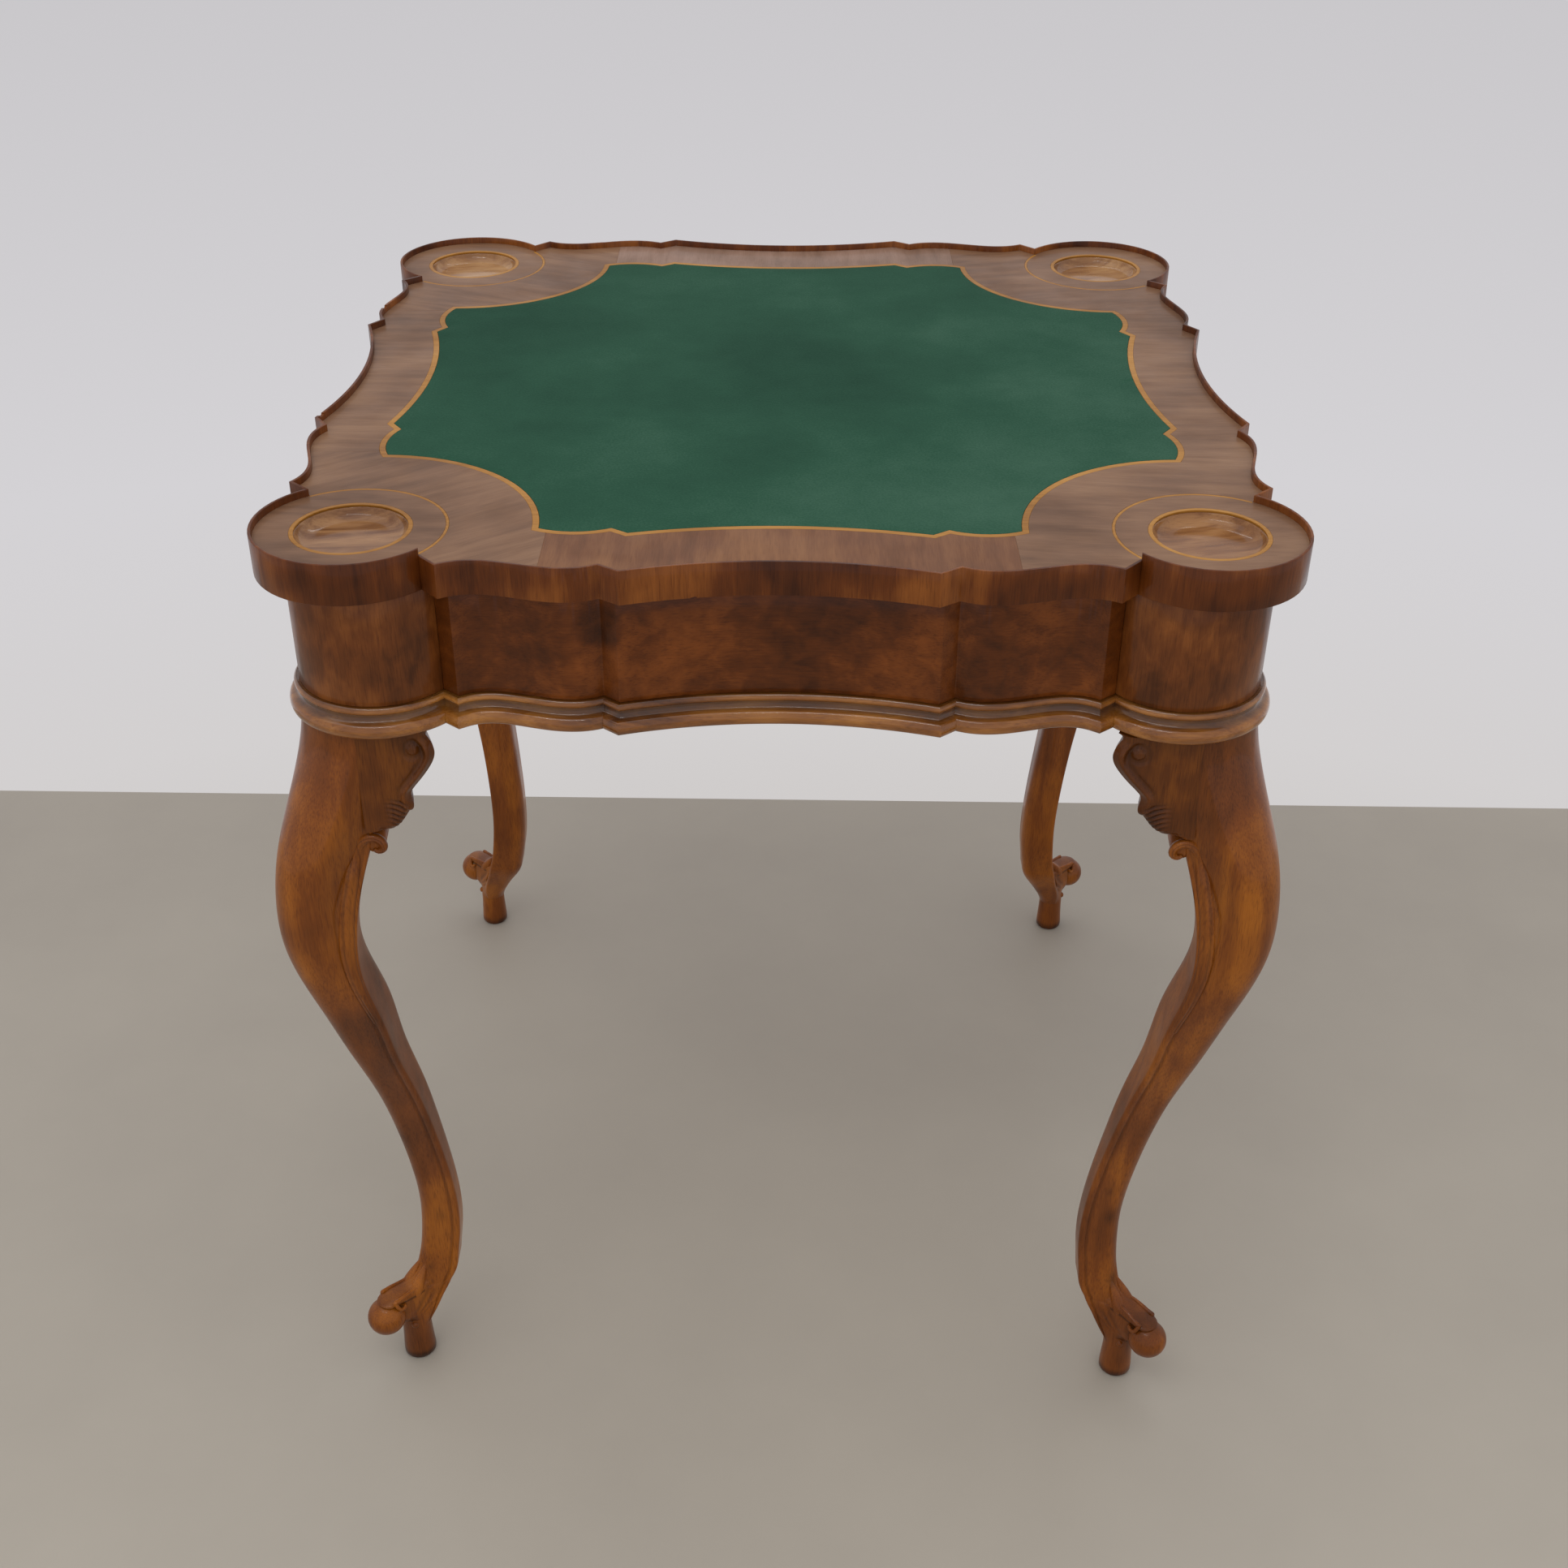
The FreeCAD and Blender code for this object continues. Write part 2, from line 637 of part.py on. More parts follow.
def leg_section(lean, station):
    """A square section with rounded corners, moved by its part of the leg's lean."""
    height_share, inner_share, outer_share, outer_round_share, side_round_share, inner_round_share = station
    level = height_share * leg_height
    inner = stock_inner + inner_share * stock
    outer = stock_inner + outer_share * stock
    shift = lean * lean_share(level) + UP * level
    corners = [
        (Vec(inner, inner, 0) + shift, inner_round_share * stock),
        (Vec(outer, inner, 0) + shift, side_round_share * stock),
        (Vec(outer, outer, 0) + shift, outer_round_share * stock),
        (Vec(inner, outer, 0) + shift, side_round_share * stock),
    ]
    edges = []
    starts = []
    ends = []
    for index, (corner, radius) in enumerate(corners):
        before = (corners[index - 1][0] - corner).normalize()
        after = (corners[(index + 1) % 4][0] - corner).normalize()
        centre = corner + (before + after) * radius
        starts.append(corner + before * radius)
        ends.append(corner + after * radius)
        toward = (corner - centre).normalize()
        edges.append(Part.Arc(starts[-1], centre + toward * radius, ends[-1]).toShape())
    sides = [Part.LineSegment(ends[index], starts[(index + 1) % 4]).toShape() for index in range(4)]
    return Part.Wire([edge for pair in zip(edges, sides) for edge in pair])


# The acanthus leaf that lies over the ball, as shares of the ball's radius out and up from its centre
LEAF_SHARES = [
    (-1.9, 4.3),
    (-1.35, 3.1),
    (-0.85, 2.4),
    (-0.05, 2.05),
    (0.48, 1.5),
    (0.45, 1.1),
    (0.0, 0.85),
    (-1.9, 0.6),
]
ball_out = stock_inner + size("ball_set")
ball_place = Vec(ball_out, ball_out, size("ball_height"))


def leaf():
    outward = Vec(1, 1, 0) * size("ball_radius")
    upward = UP * size("ball_radius")
    sideways = Vec(1, -1, 0).normalize() * size("leaf_width")
    start = ball_place - sideways / 2
    places = [start + outward * out + upward * rise for out, rise in LEAF_SHARES]
    blade = Part.Face(Part.makePolygon(places + places[:1])).extrude(sideways)
    across = [edge for edge in blade.Edges if abs(edge.tangentAt(0).dot(sideways)) > 0.99 * sideways.Length]
    outer = [edge for edge in across if edge.CenterOfMass.x > ball_out]
    return blade.makeFillet(size("leaf_rounding"), outer)


def leg_shape(lean):
    """One leg at the back right corner, its foot moved by the lean."""
    sections = [leg_section(lean, station) for station in LEG_STATION_SHARES]
    carved = Part.makeLoft(sections, True, False)
    tenon_out = stock_inner + size("leg_tenon_set")
    tenon_centre = Vec(tenon_out, tenon_out, leg_height)
    tenon = Part.makeCylinder(size("leg_tenon_radius"), size("leg_tenon_length"), tenon_centre)
    foot_out = stock_inner + size("foot_set")
    foot = Vec(foot_out, foot_out, 0) + lean
    peg = Part.makeCone(size("peg_radius"), size("peg_neck_radius"), size("peg_height"), foot)
    rim = [edge for edge in peg.Edges if edge.BoundBox.ZMax < size("peg_chamfer")]
    peg = peg.makeChamfer(size("peg_chamfer"), rim)
    ball = Part.makeSphere(size("ball_radius"), ball_place + lean)
    acanthus = leaf()
    acanthus.translate(lean)
    volute_start = stock_inner + (LEG_STATION_SHARES[3][1] + LEG_STATION_SHARES[3][5]) * stock
    volute_length = stock_inner + size("bracket_set") - volute_start
    volute_across = stock_inner + size("volute_set")
    volute_level = leg_height - size("volute_drop")
    volute_shift = lean * lean_share(volute_level) + UP * volute_level
    volutes = []
    for direction in (Vec(1, 0, 0), Vec(0, 1, 0)):
        across = Vec(direction.y, direction.x, 0)
        start = direction * volute_start + across * volute_across + volute_shift
        volutes.append(Part.makeCylinder(size("volute_radius"), volute_length, start, direction))
    return carved.multiFuse([tenon, peg, ball, acanthus] + volutes)


leg_patterns = []
for quarters, corner in enumerate(CORNERS):
    right_share, back_share = FOOT_LEAN_SHARES[corner]
    lean = FreeCAD.Rotation(UP, -90 * quarters).multVec(Vec(right_share, back_share, 0) * stock)
    pattern = doc.addObject("Part::Feature", "leg_pattern_" + corner)
    pattern.Shape = leg_shape(lean)
    leg_patterns.append(pattern)
    keep(turned_copy(pattern, "leg_" + corner, quarters, "0"), "leg_" + corner)

# Carved brackets: a lobe, a leaf edge and a toe, as shares of the bracket's reach and height
BRACKET_TOP_SHARES = [(1.00, 1.00), (0.95, 0.985), (0.92, 0.96)]
BRACKET_LOBE_SHARES = [(0.92, 0.96), (1.05, 0.80), (0.94, 0.65), (0.75, 0.53), (0.57, 0.40)]
BRACKET_LEAF_SHARES = [(0.57, 0.40), (0.52, 0.28), (0.44, 0.20), (0.33, 0.12), (0.12, 0.07)]
BRACKET_ROOT_SHARES = [(0.12, 0.07), (-0.3, 0.07), (-0.3, 1.00), (1.00, 1.00)]


def bracket_shape():
    """The back right bracket along X: its profile lies in X and Z, and its thickness along Y."""
    face_line = stock_inner + LEG_STATION_SHARES[0][1] * stock
    foot_level = leg_height - size("bracket_height")
    back = stock_inner + size("bracket_set") - size("bracket_thickness")

    def place(reach_share, height_share):
        return Vec(
            face_line - reach_share * size("bracket_reach"),
            back,
            foot_level + height_share * size("bracket_height"),
        )

    carved = [BRACKET_TOP_SHARES, BRACKET_LOBE_SHARES, BRACKET_LEAF_SHARES]
    stretches = [("curve", [place(*share) for share in shares]) for shares in carved]
    root = [place(*share) for share in BRACKET_ROOT_SHARES]
    stretches += [("line", list(pair)) for pair in zip(root, root[1:])]
    return Part.Face(wire_of(stretches)).extrude(Vec(0, size("bracket_thickness"), 0))


uncut_brackets = {
    "along_x": bracket_shape(),
    "along_y": bracket_shape().mirror(Vec(0, 0, 0), Vec(1, -1, 0)),
}
for quarters, corner in enumerate(CORNERS):
    for name, uncut in uncut_brackets.items():
        on_side = (name == "along_x") == (quarters % 2 == 0)
        face = corner.split("_")[0] if on_side else corner.split("_")[1]
        label = f"bracket_{corner}_{face}"
        fitted = uncut.cut(leg_patterns[quarters].Shape)
        pattern = doc.addObject("Part::Feature", label + "_pattern")
        pattern.Shape = max(fitted.Solids, key=lambda solid: solid.Volume)
        keep(turned_copy(pattern, label + "_piece", quarters, "0"), label)

doc.recompute()

faults = []
for obj in doc.Objects:
    if any(word in obj.State for word in ("Invalid", "Error")):
        faults.append(f"{obj.Label}: {obj.State}")
for node in nodes:
    shape = node.Shape
    if shape.isNull() or not shape.isValid() or not shape.Solids:
        faults.append(f"{node.Label}: no valid solid")
labels = [node.Label for node in nodes]
if len(set(labels)) != len(labels):
    faults.append("two sub-parts share a name")
if faults:
    raise RuntimeError("\n".join(faults))

os.makedirs("parts", exist_ok=True)
for node in nodes:
    node.Shape.exportStep(f"parts/{node.Label}.step")
    box = node.Shape.BoundBox
    volume = node.Shape.Volume / 1000
    extent = f"z {box.ZMin:.1f} to {box.ZMax:.1f}"
    print(f"{node.Label:32s} solids {len(node.Shape.Solids)}  {volume:9.1f} cm3  {extent}")
print(len(nodes), "sub-parts")
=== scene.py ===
# %% [markdown]
# # A games table, dressed over its CAD model
# The real object is a square card table with a wavy top. Its top board is lined with green baize
# and has a round dish at each corner, and it stands on four carved legs of polished walnut.
# The CAD model gives every size. This script adds what a maker's hands and long use add:
# rounded edges, carving, figured veneer, polish and wear.

# %% Load the frame
from math import atan2, cos, pi, radians, sin, sqrt

import bmesh
import bpy
import numpy as np
from mathutils import Matrix, Vector, geometry, noise


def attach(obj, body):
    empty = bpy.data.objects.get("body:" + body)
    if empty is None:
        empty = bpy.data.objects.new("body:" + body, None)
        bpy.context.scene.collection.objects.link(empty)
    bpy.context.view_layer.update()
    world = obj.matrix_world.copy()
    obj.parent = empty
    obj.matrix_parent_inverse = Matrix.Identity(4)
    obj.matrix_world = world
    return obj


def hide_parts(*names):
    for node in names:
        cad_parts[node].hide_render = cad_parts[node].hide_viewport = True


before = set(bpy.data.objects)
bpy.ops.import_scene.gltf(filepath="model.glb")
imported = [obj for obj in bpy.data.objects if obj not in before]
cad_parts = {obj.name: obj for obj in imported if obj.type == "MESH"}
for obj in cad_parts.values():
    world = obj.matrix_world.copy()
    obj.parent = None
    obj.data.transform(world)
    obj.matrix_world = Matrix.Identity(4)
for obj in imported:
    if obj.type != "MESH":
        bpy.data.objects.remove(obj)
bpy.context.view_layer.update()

# %% [markdown]
# All sizes below are millimetres, as on a workshop drawing, and become metres only when a mesh is
# made. Colours are written as they look on a screen (sRGB hex), and one function turns them into
# the linear numbers that Blender's shaders work in. One helper adds a node with its settings.

# %% Units, colours and nodes
MM = 0.001


def colour(code):
    """A colour as seen on a screen, such as "#7a4a20", in linear light."""
    shares = [int(code[place : place + 2], 16) / 255 for place in (1, 3, 5)]
    linear = [share / 12.92 if share <= 0.04045 else ((share + 0.055) / 1.055) ** 2.4 for share in shares]
    return (*linear, 1.0)


def add(tree, kind, feeds, **settings):
    """Adds a node, sets its options, and gives its inputs values or the outputs of other nodes."""
    made = tree.nodes.new("ShaderNode" + kind)
    for option, value in settings.items():
        setattr(made, option, value)
    for socket, value in feeds.items():
        if isinstance(value, bpy.types.Node):
            tree.links.new(value.outputs[0], made.inputs[socket])
        elif isinstance(value, bpy.types.NodeSocket):
            tree.links.new(value, made.inputs[socket])
        else:
            made.inputs[socket].default_value = value
    return made


def new_material(name):
    """An empty material, its node tree and its Principled shader."""
    material = bpy.data.materials.new(name)
    material.use_nodes = True
    tree = material.node_tree
    return material, tree, tree.nodes["Principled BSDF"]


# %% [markdown]
# ## The camera
# A photograph fixes its camera once enough points of the object are known. The square top, the
# four round ears and the feet gave this one: it stands 1.4 m in front, looks down by 32.7
# degrees, and has a slightly long lens. The picture is square, so the sensor's width is its height.

# %% Place the camera
camera_place = Vector((5.9, -1417.2, 1302.5)) * MM
camera_yaw = radians(-0.130)
camera_pitch = radians(32.676)
camera_roll = radians(0.318)
picture_width = 1932
focal_pixels = 2321

forward = Vector(
    (sin(camera_yaw) * cos(camera_pitch), cos(camera_yaw) * cos(camera_pitch), -sin(camera_pitch))
)
level_right = Vector((cos(camera_yaw), -sin(camera_yaw), 0))
level_up = level_right.cross(forward)
right = cos(camera_roll) * level_right + sin(camera_roll) * level_up
up = right.cross(forward)
lens = bpy.data.cameras.new("camera")
lens.sensor_width = 36
lens.lens = focal_pixels / picture_width * lens.sensor_width
lens.clip_end = 50
camera = bpy.data.objects.new("camera", lens)
camera.matrix_world = Matrix.Translation(camera_place) @ Matrix((right, up, -forward)).transposed().to_4x4()
bpy.context.scene.collection.objects.link(camera)
bpy.context.scene.camera = camera
bpy.context.scene.view_settings.view_transform = "Standard"
print("lens in millimetres", round(lens.lens, 2))

# %% [markdown]
# ## Lines that several pieces share
# The outlines of the top board and of the frame are chains of straight lines, arcs and smooth
# curves. Each stretch is kept as points with their outward normals, so a moulding can be drawn
# at any distance from the outline. A smooth curve is a cubic spline: it needs only the points
# that a maker would prick through a template.


# %% Draw smooth runs through a few points
def smooth_run(knots, values, wanted):
    """A cubic spline through values at knots, read at the wanted places, with its slope there."""
    knots = np.asarray(knots, float)
    values = np.asarray(values, float).reshape(len(knots), -1)
    near_start = np.vander(knots[:4] - knots[0], 4)
    near_end = np.vander(knots[-4:] - knots[-1], 4)
    matrix = np.eye(len(knots))
    answer = np.zeros_like(values)
    answer[0] = np.linalg.solve(near_start, values[:4])[2]
    answer[-1] = np.linalg.solve(near_end, values[-4:])[2]
    for place in range(1, len(knots) - 1):
        before = knots[place] - knots[place - 1]
        after = knots[place + 1] - knots[place]
        matrix[place, place - 1 : place + 2] = (after, 2 * (before + after), before)
        rise = values[place] - values[place - 1]
        next_rise = values[place + 1] - values[place]
        answer[place] = 3 * (after * rise / before + before * next_rise / after)
    slopes = np.linalg.solve(matrix, answer)
    cell = np.clip(np.searchsorted(knots, wanted, side="right") - 1, 0, len(knots) - 2)
    span = (knots[cell + 1] - knots[cell])[:, None]
    t = (np.asarray(wanted)[:, None] - knots[cell][:, None]) / span
    start, end = values[cell], values[cell + 1]
    first, last = slopes[cell] * span, slopes[cell + 1] * span
    a = 2 * start - 2 * end + first + last
    b = 3 * end - 3 * start - 2 * first - last
    return ((a * t + b) * t + first) * t + start, ((3 * a * t + 2 * b) * t + first) / span


def line(start, end):
    points = np.array([start, end], float)
    along = (points[1] - points[0]) / np.linalg.norm(points[1] - points[0])
    return points, np.array([[along[1], -along[0]]] * 2)


def arc(start, middle, end, step=3.0):
    start, middle, end = (np.array(point, float) for point in (start, middle, end))
    sides = np.array([middle - start, end - start]) * 2
    squares = np.array([middle @ middle - start @ start, end @ end - start @ start])
    centre = np.linalg.solve(sides, squares)
    radius = np.linalg.norm(start - centre)
    angles = [atan2(*(point - centre)[::-1]) for point in (start, middle, end)]
    sweep = (angles[2] - angles[0]) % (2 * pi)
    if (angles[1] - angles[0]) % (2 * pi) > sweep:
        sweep -= 2 * pi
    count = max(6, round(abs(sweep) * radius / step))
    turn = angles[0] + sweep * np.linspace(0, 1, count + 1)
    spokes = np.stack([np.cos(turn), np.sin(turn)], axis=1)
    return centre + spokes * radius, spokes * np.sign(sweep)


def curve(points, step=3.0):
    points = np.array(points, float)
    knots = np.concatenate([[0], np.cumsum(np.linalg.norm(np.diff(points, axis=0), axis=1))])
    wanted = np.linspace(0, knots[-1], max(8, round(knots[-1] / step)))
    places, slopes = smooth_run(knots, points, wanted)
    slopes /= np.linalg.norm(slopes, axis=1)[:, None]
    return places, np.stack([slopes[:, 1], -slopes[:, 0]], axis=1)


# %% [markdown]
# The frame's four sides are alike, so one side is drawn with the drum at its right end, and the
# other three are the same run turned by a quarter. The places along a side are shares of the
# distance from the middle of the table to an ear, as a maker would divide a template.


# %% Outline of the frame
EAR_CENTRE = 283.0
FRAME_MIDDLE = 308.0
SIDE_RELIEF = 16.0
DRUM_CENTRE = 275.0
DRUM_RADIUS = 57.0
DRUM_NOTCH_SHARE = 0.825
FRAME_SIDE_SHARES = [(0.378, 1.0), (0.419, 0.41), (0.519, 0.75), (0.671, 0.125), (0.765, 0.53)]
SIDE_RUN = 7


def mirrored(points):
    return [np.array((-point[0], point[1])) for point in points][::-1]


def frame_quarter():
    """The front side of the frame from left to right, and the drum at its right end."""
    step, inner, lobe, hollow, point = [
        np.array((along * EAR_CENTRE, -(FRAME_MIDDLE + rise * SIDE_RELIEF)))
        for along, rise in FRAME_SIDE_SHARES
    ]
    notch_in = DRUM_NOTCH_SHARE * DRUM_RADIUS
    notch = np.array((DRUM_CENTRE - notch_in, -DRUM_CENTRE - sqrt(DRUM_RADIUS**2 - notch_in**2)))
    wave = [inner, lobe, (lobe + hollow) / 2, hollow, point]
    round_out = DRUM_CENTRE + DRUM_RADIUS / sqrt(2)
    run = [line(*mirrored([point, notch])), curve(mirrored(wave)), line(*mirrored([step, inner]))]
    run += [arc((-step[0], step[1]), (0, -FRAME_MIDDLE), step)]
    run += [line(step, inner), curve(wave), line(point, notch)]
    return run + [arc(notch, (round_out, -round_out), (-notch[1], -notch[0]))]


def turned(points, quarters):
    """Points turned round the middle of the table, by quarters of a turn."""
    cosine, sine = [(1, 0), (0, 1), (-1, 0), (0, -1)][quarters % 4]
    placed = np.asarray(points, float).copy()
    placed[:, :2] = placed[:, :2] @ np.array([[cosine, sine], [-sine, cosine]])
    return placed


frame_outline = [
    (turned(points, quarters), turned(normals, quarters))
    for quarters in range(4)
    for points, normals in frame_quarter()
]


def offset_run(outline, first, count, distance):
    """A run of an outline's stretches, moved outward, with mitred corners."""
    moved = []
    for index in range(first, first + count):
        points, normals = outline[index]
        before = outline[index - 1][1][-1]
        after = outline[(index + 1) % len(outline)][1][0]
        run = points + normals * distance
        run[0] = points[0] + (before + normals[0]) * distance / (1 + before @ normals[0])
        run[-1] = points[-1] + (after + normals[-1]) * distance / (1 + after @ normals[-1])
        moved.append(run if index == first else run[1:])
    return np.concatenate(moved)


print("points round the frame", sum(len(points) for points, normals in frame_outline))


# %% [markdown]
# ## Making a piece
# A new piece is a mesh written from points and faces. It rides on the body it belongs to and stands
# for the CAD nodes that it replaces. Most pieces here are grids of points, one row after another,
# so one function lists the faces of a grid.


# %% Make pieces from grids of points
def grid_faces(rows, columns, start=0, ring=False, closed=False):
    """Faces between the points of a grid. A ring joins its last column to its first."""
    faces = []
    for row in range(rows if closed else rows - 1):
        below = start + row * columns
        above = start + (row + 1) % rows * columns
        for column in range(columns if ring else columns - 1):
            beside = (column + 1) % columns
            faces.append((below + column, below + beside, above + beside, above + column))
    return faces


def make_piece(name, points, faces, body, stands_for, sharp=35):
    mesh = bpy.data.meshes.new(name)
    mesh.from_pydata((np.asarray(points, float) * MM).tolist(), [], faces)
    work = bmesh.new()
    work.from_mesh(mesh)
    bmesh.ops.recalc_face_normals(work, faces=work.faces)
    work.to_mesh(mesh)
    work.free()
    mesh.shade_smooth()
    mesh.set_sharp_from_angle(angle=radians(sharp))
    piece = bpy.data.objects.new(name, mesh)
    bpy.context.scene.collection.objects.link(piece)
    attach(piece, body)
    if stands_for:
        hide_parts(*stands_for)
    return piece


def keep_painted_shade_and_knots(piece, amounts):
    """Says how dark each point of a piece is painted, from 0 to 1: painted shade in hollows, grooves and
    creases, and on the front legs their real knots.
    """
    painted_shade_and_knots = piece.data.attributes.new("painted_shade_and_knots", "FLOAT", "POINT")
    every = np.zeros(len(piece.data.vertices), np.float32)
    every[: len(amounts)] = amounts
    painted_shade_and_knots.data.foreach_set("value", every)


# %% [markdown]
# ## The moulding under the frame
# The real moulding is a strip of walnut planed to a half round, a hollow and a small bead, cut
# into short lengths and mitred at every corner of the wavy frame. A profile swept along the
# outline gives the same: each point of the profile is the outline, moved out by its projection.

# %% Sweep the moulding
LEG_HEIGHT = 643.0
MOULDING_HEIGHT = 22.0
MOULDING_PROJECTION = 8.5
BURR_THICKNESS = 1.6
ROLL_SHARES = [(0.0, 0.55), (0.05, 0.80), (0.14, 0.95), (0.26, 1.0), (0.38, 0.93), (0.48, 0.72), (0.54, 0.42)]
HOLLOW_SHARES = [(0.54, 0.42), (0.58, 0.31), (0.66, 0.235), (0.76, 0.22)]
BEAD_SHARES = [(0.76, 0.22), (0.80, 0.38), (0.88, 0.47), (0.96, 0.38), (1.0, 0.20)]


def rounded(shares, count):
    """A smooth line of so many points through a few given ones."""
    shares = np.array(shares)
    knots = np.concatenate([[0], np.cumsum(np.linalg.norm(np.diff(shares, axis=0), axis=1))])
    return smooth_run(knots, shares, np.linspace(0, knots[-1], count))[0]


moulding_parts = [rounded(ROLL_SHARES, 22), rounded(HOLLOW_SHARES, 7)[1:], rounded(BEAD_SHARES, 11)[1:]]
moulding_profile = np.concatenate(moulding_parts)
# Painted shade darkens the hollow between roll and bead, the underside where the moulding meets
# the leg, and the crease at its top edge: places up the profile, and how much painted shade lies at each
PAINTED_SHADE_PLACE_SHARES = [0.0, 0.05, 0.46, 0.54, 0.68, 0.76, 0.80, 0.93, 1.0]
PAINTED_SHADE_AMOUNTS = [0.5, 0.0, 0.0, 0.65, 0.8, 0.6, 0.0, 0.0, 0.7]


def sweep_moulding(first, count):
    """Points, faces and painted shade of one length of moulding, closed at its back and its ends."""
    back = -BURR_THICKNESS / MOULDING_PROJECTION
    rows = np.concatenate([[(0.0, back)], moulding_profile, [(1.0, back)]])
    points = []
    painted_shade_and_knots = []
    for height_share, projection_share in rows:
        run = offset_run(frame_outline, first, count, projection_share * MOULDING_PROJECTION)
        painted_shade_and_knots += [np.interp(height_share, PAINTED_SHADE_PLACE_SHARES, PAINTED_SHADE_AMOUNTS)] * len(run)
        level = np.full((len(run), 1), LEG_HEIGHT + height_share * MOULDING_HEIGHT)
        points.append(np.concatenate([run, level], axis=1))
    columns = len(points[0])
    faces = grid_faces(len(rows), columns, closed=True)
    faces += [tuple(row * columns for row in range(len(rows)))]
    faces += [tuple(row * columns + columns - 1 for row in reversed(range(len(rows))))]
    return np.concatenate(points), faces, np.array(painted_shade_and_knots)


SIDES = ["front", "right", "back", "left"]
CORNERS = ["back_right", "back_left", "front_left", "front_right"]
side_points, side_faces, side_painted_shade = sweep_moulding(0, SIDE_RUN)
corner_points, corner_faces, corner_painted_shade = sweep_moulding(SIDE_RUN, 1)
mouldings = []
for quarters, side in enumerate(SIDES):
    name = "moulding_" + side
    points = turned(side_points, quarters)
    mouldings.append(make_piece(name + "_run", points, side_faces, "frame", [name]))
    keep_painted_shade_and_knots(mouldings[-1], side_painted_shade)
all_corner_points = np.concatenate([turned(corner_points, quarters) for quarters in range(4)])
all_corner_faces = [
    tuple(index + quarters * len(corner_points) for index in face)
    for quarters in range(4)
    for face in corner_faces
]
corner_runs = make_piece(
    "corner_moulding_runs", all_corner_points, all_corner_faces, "frame",
    ["corner_mouldings"],
)
keep_painted_shade_and_knots(corner_runs, np.tile(corner_painted_shade, 4))
mouldings.append(corner_runs)
print("moulding faces", sum(len(piece.data.polygons) for piece in mouldings))

# %% [markdown]
# ## Legs
# A cabriole leg is sawn from a square post on two faces and then rounded. Here it is a stack of
# rounded squares, one every few millimetres of height, whose sizes run smoothly through the same
# stations as the CAD leg. The carver then cut a bead and a groove along the two inner edges, and
# hollowed the wood between the knee and the brackets, so each section gets these too.

# %% Sections of the leg
STOCK = 89.0
STOCK_INNER = 270.0
# Height on the leg, inner face, outer face, rounding of the outer, the side and the inner corners
LEG_STATION_SHARES = [
    (1.000, 0.100, 0.695, 0.520, 0.045, 0.045),
    (0.942, 0.107, 0.760, 0.470, 0.045, 0.060),
    (0.894, 0.125, 0.855, 0.390, 0.056, 0.100),
    (0.848, 0.205, 0.940, 0.325, 0.067, 0.360),
    (0.796, 0.310, 0.988, 0.270, 0.080, 0.450),
    (0.739, 0.368, 0.983, 0.225, 0.090, 0.370),
    (0.684, 0.360, 0.918, 0.200, 0.090, 0.220),
    (0.622, 0.292, 0.812, 0.180, 0.090, 0.150),
    (0.544, 0.236, 0.680, 0.157, 0.080, 0.140),
    (0.467, 0.152, 0.545, 0.135, 0.080, 0.140),
    (0.389, 0.079, 0.447, 0.112, 0.067, 0.170),
    (0.311, 0.022, 0.386, 0.112, 0.067, 0.200),
    (0.249, 0.000, 0.368, 0.112, 0.067, 0.200),
    (0.199, 0.017, 0.391, 0.112, 0.067, 0.180),
    (0.162, 0.055, 0.430, 0.112, 0.067, 0.150),
    (0.134, 0.085, 0.485, 0.135, 0.090, 0.150),
    (0.103, 0.145, 0.560, 0.135, 0.112, 0.150),
    (0.075, 0.200, 0.620, 0.135, 0.112, 0.150),
    (0.056, 0.265, 0.600, 0.135, 0.112, 0.150),
]
BEAD_RADIUS = 2.7
GROOVE_DEPTH = 1.1
# The groove beside the inner edge, against height: it swings away from the edge at the knee
GROOVE_HEIGHTS = [36, 380, 430, 470, 505, 530, 560, 643]
GROOVE_FROM_EDGE = [6.3, 6.3, 8.5, 12.0, 15.5, 13.0, 6.3, 4.0]
GROOVE_ENDS_AT = 560.0
# How far the face falls back beside its inner edge, against height: deepest at the scroll, where
# the most painted shade is laid too
DEEPEST_HOLLOW = 22.0
HOLLOW_PAINTED_SHADE = 0.9
HOLLOW_HEIGHTS = [36, 330, 400, 430, 462, 492, 522, 548, 576, 606, 643]
HOLLOW_DEPTHS = [0, 0, 0.3, 1.5, 6, 14, 21, 22.5, 16.5, 8.5, 2.2]


def step_up(value):
    """Zero below 0, one above 1, and a soft slope between."""
    value = np.clip(value, 0, 1)
    return value * value * (3 - 2 * value)


def fall_back(along, bead, face_length, hollow):
    """How far the face lies behind its front, at a distance along it from the inner edge."""
    return hollow * (0.5 + 0.5 * np.cos(pi * np.clip((along - bead) / (face_length * 0.85), 0, 1)))


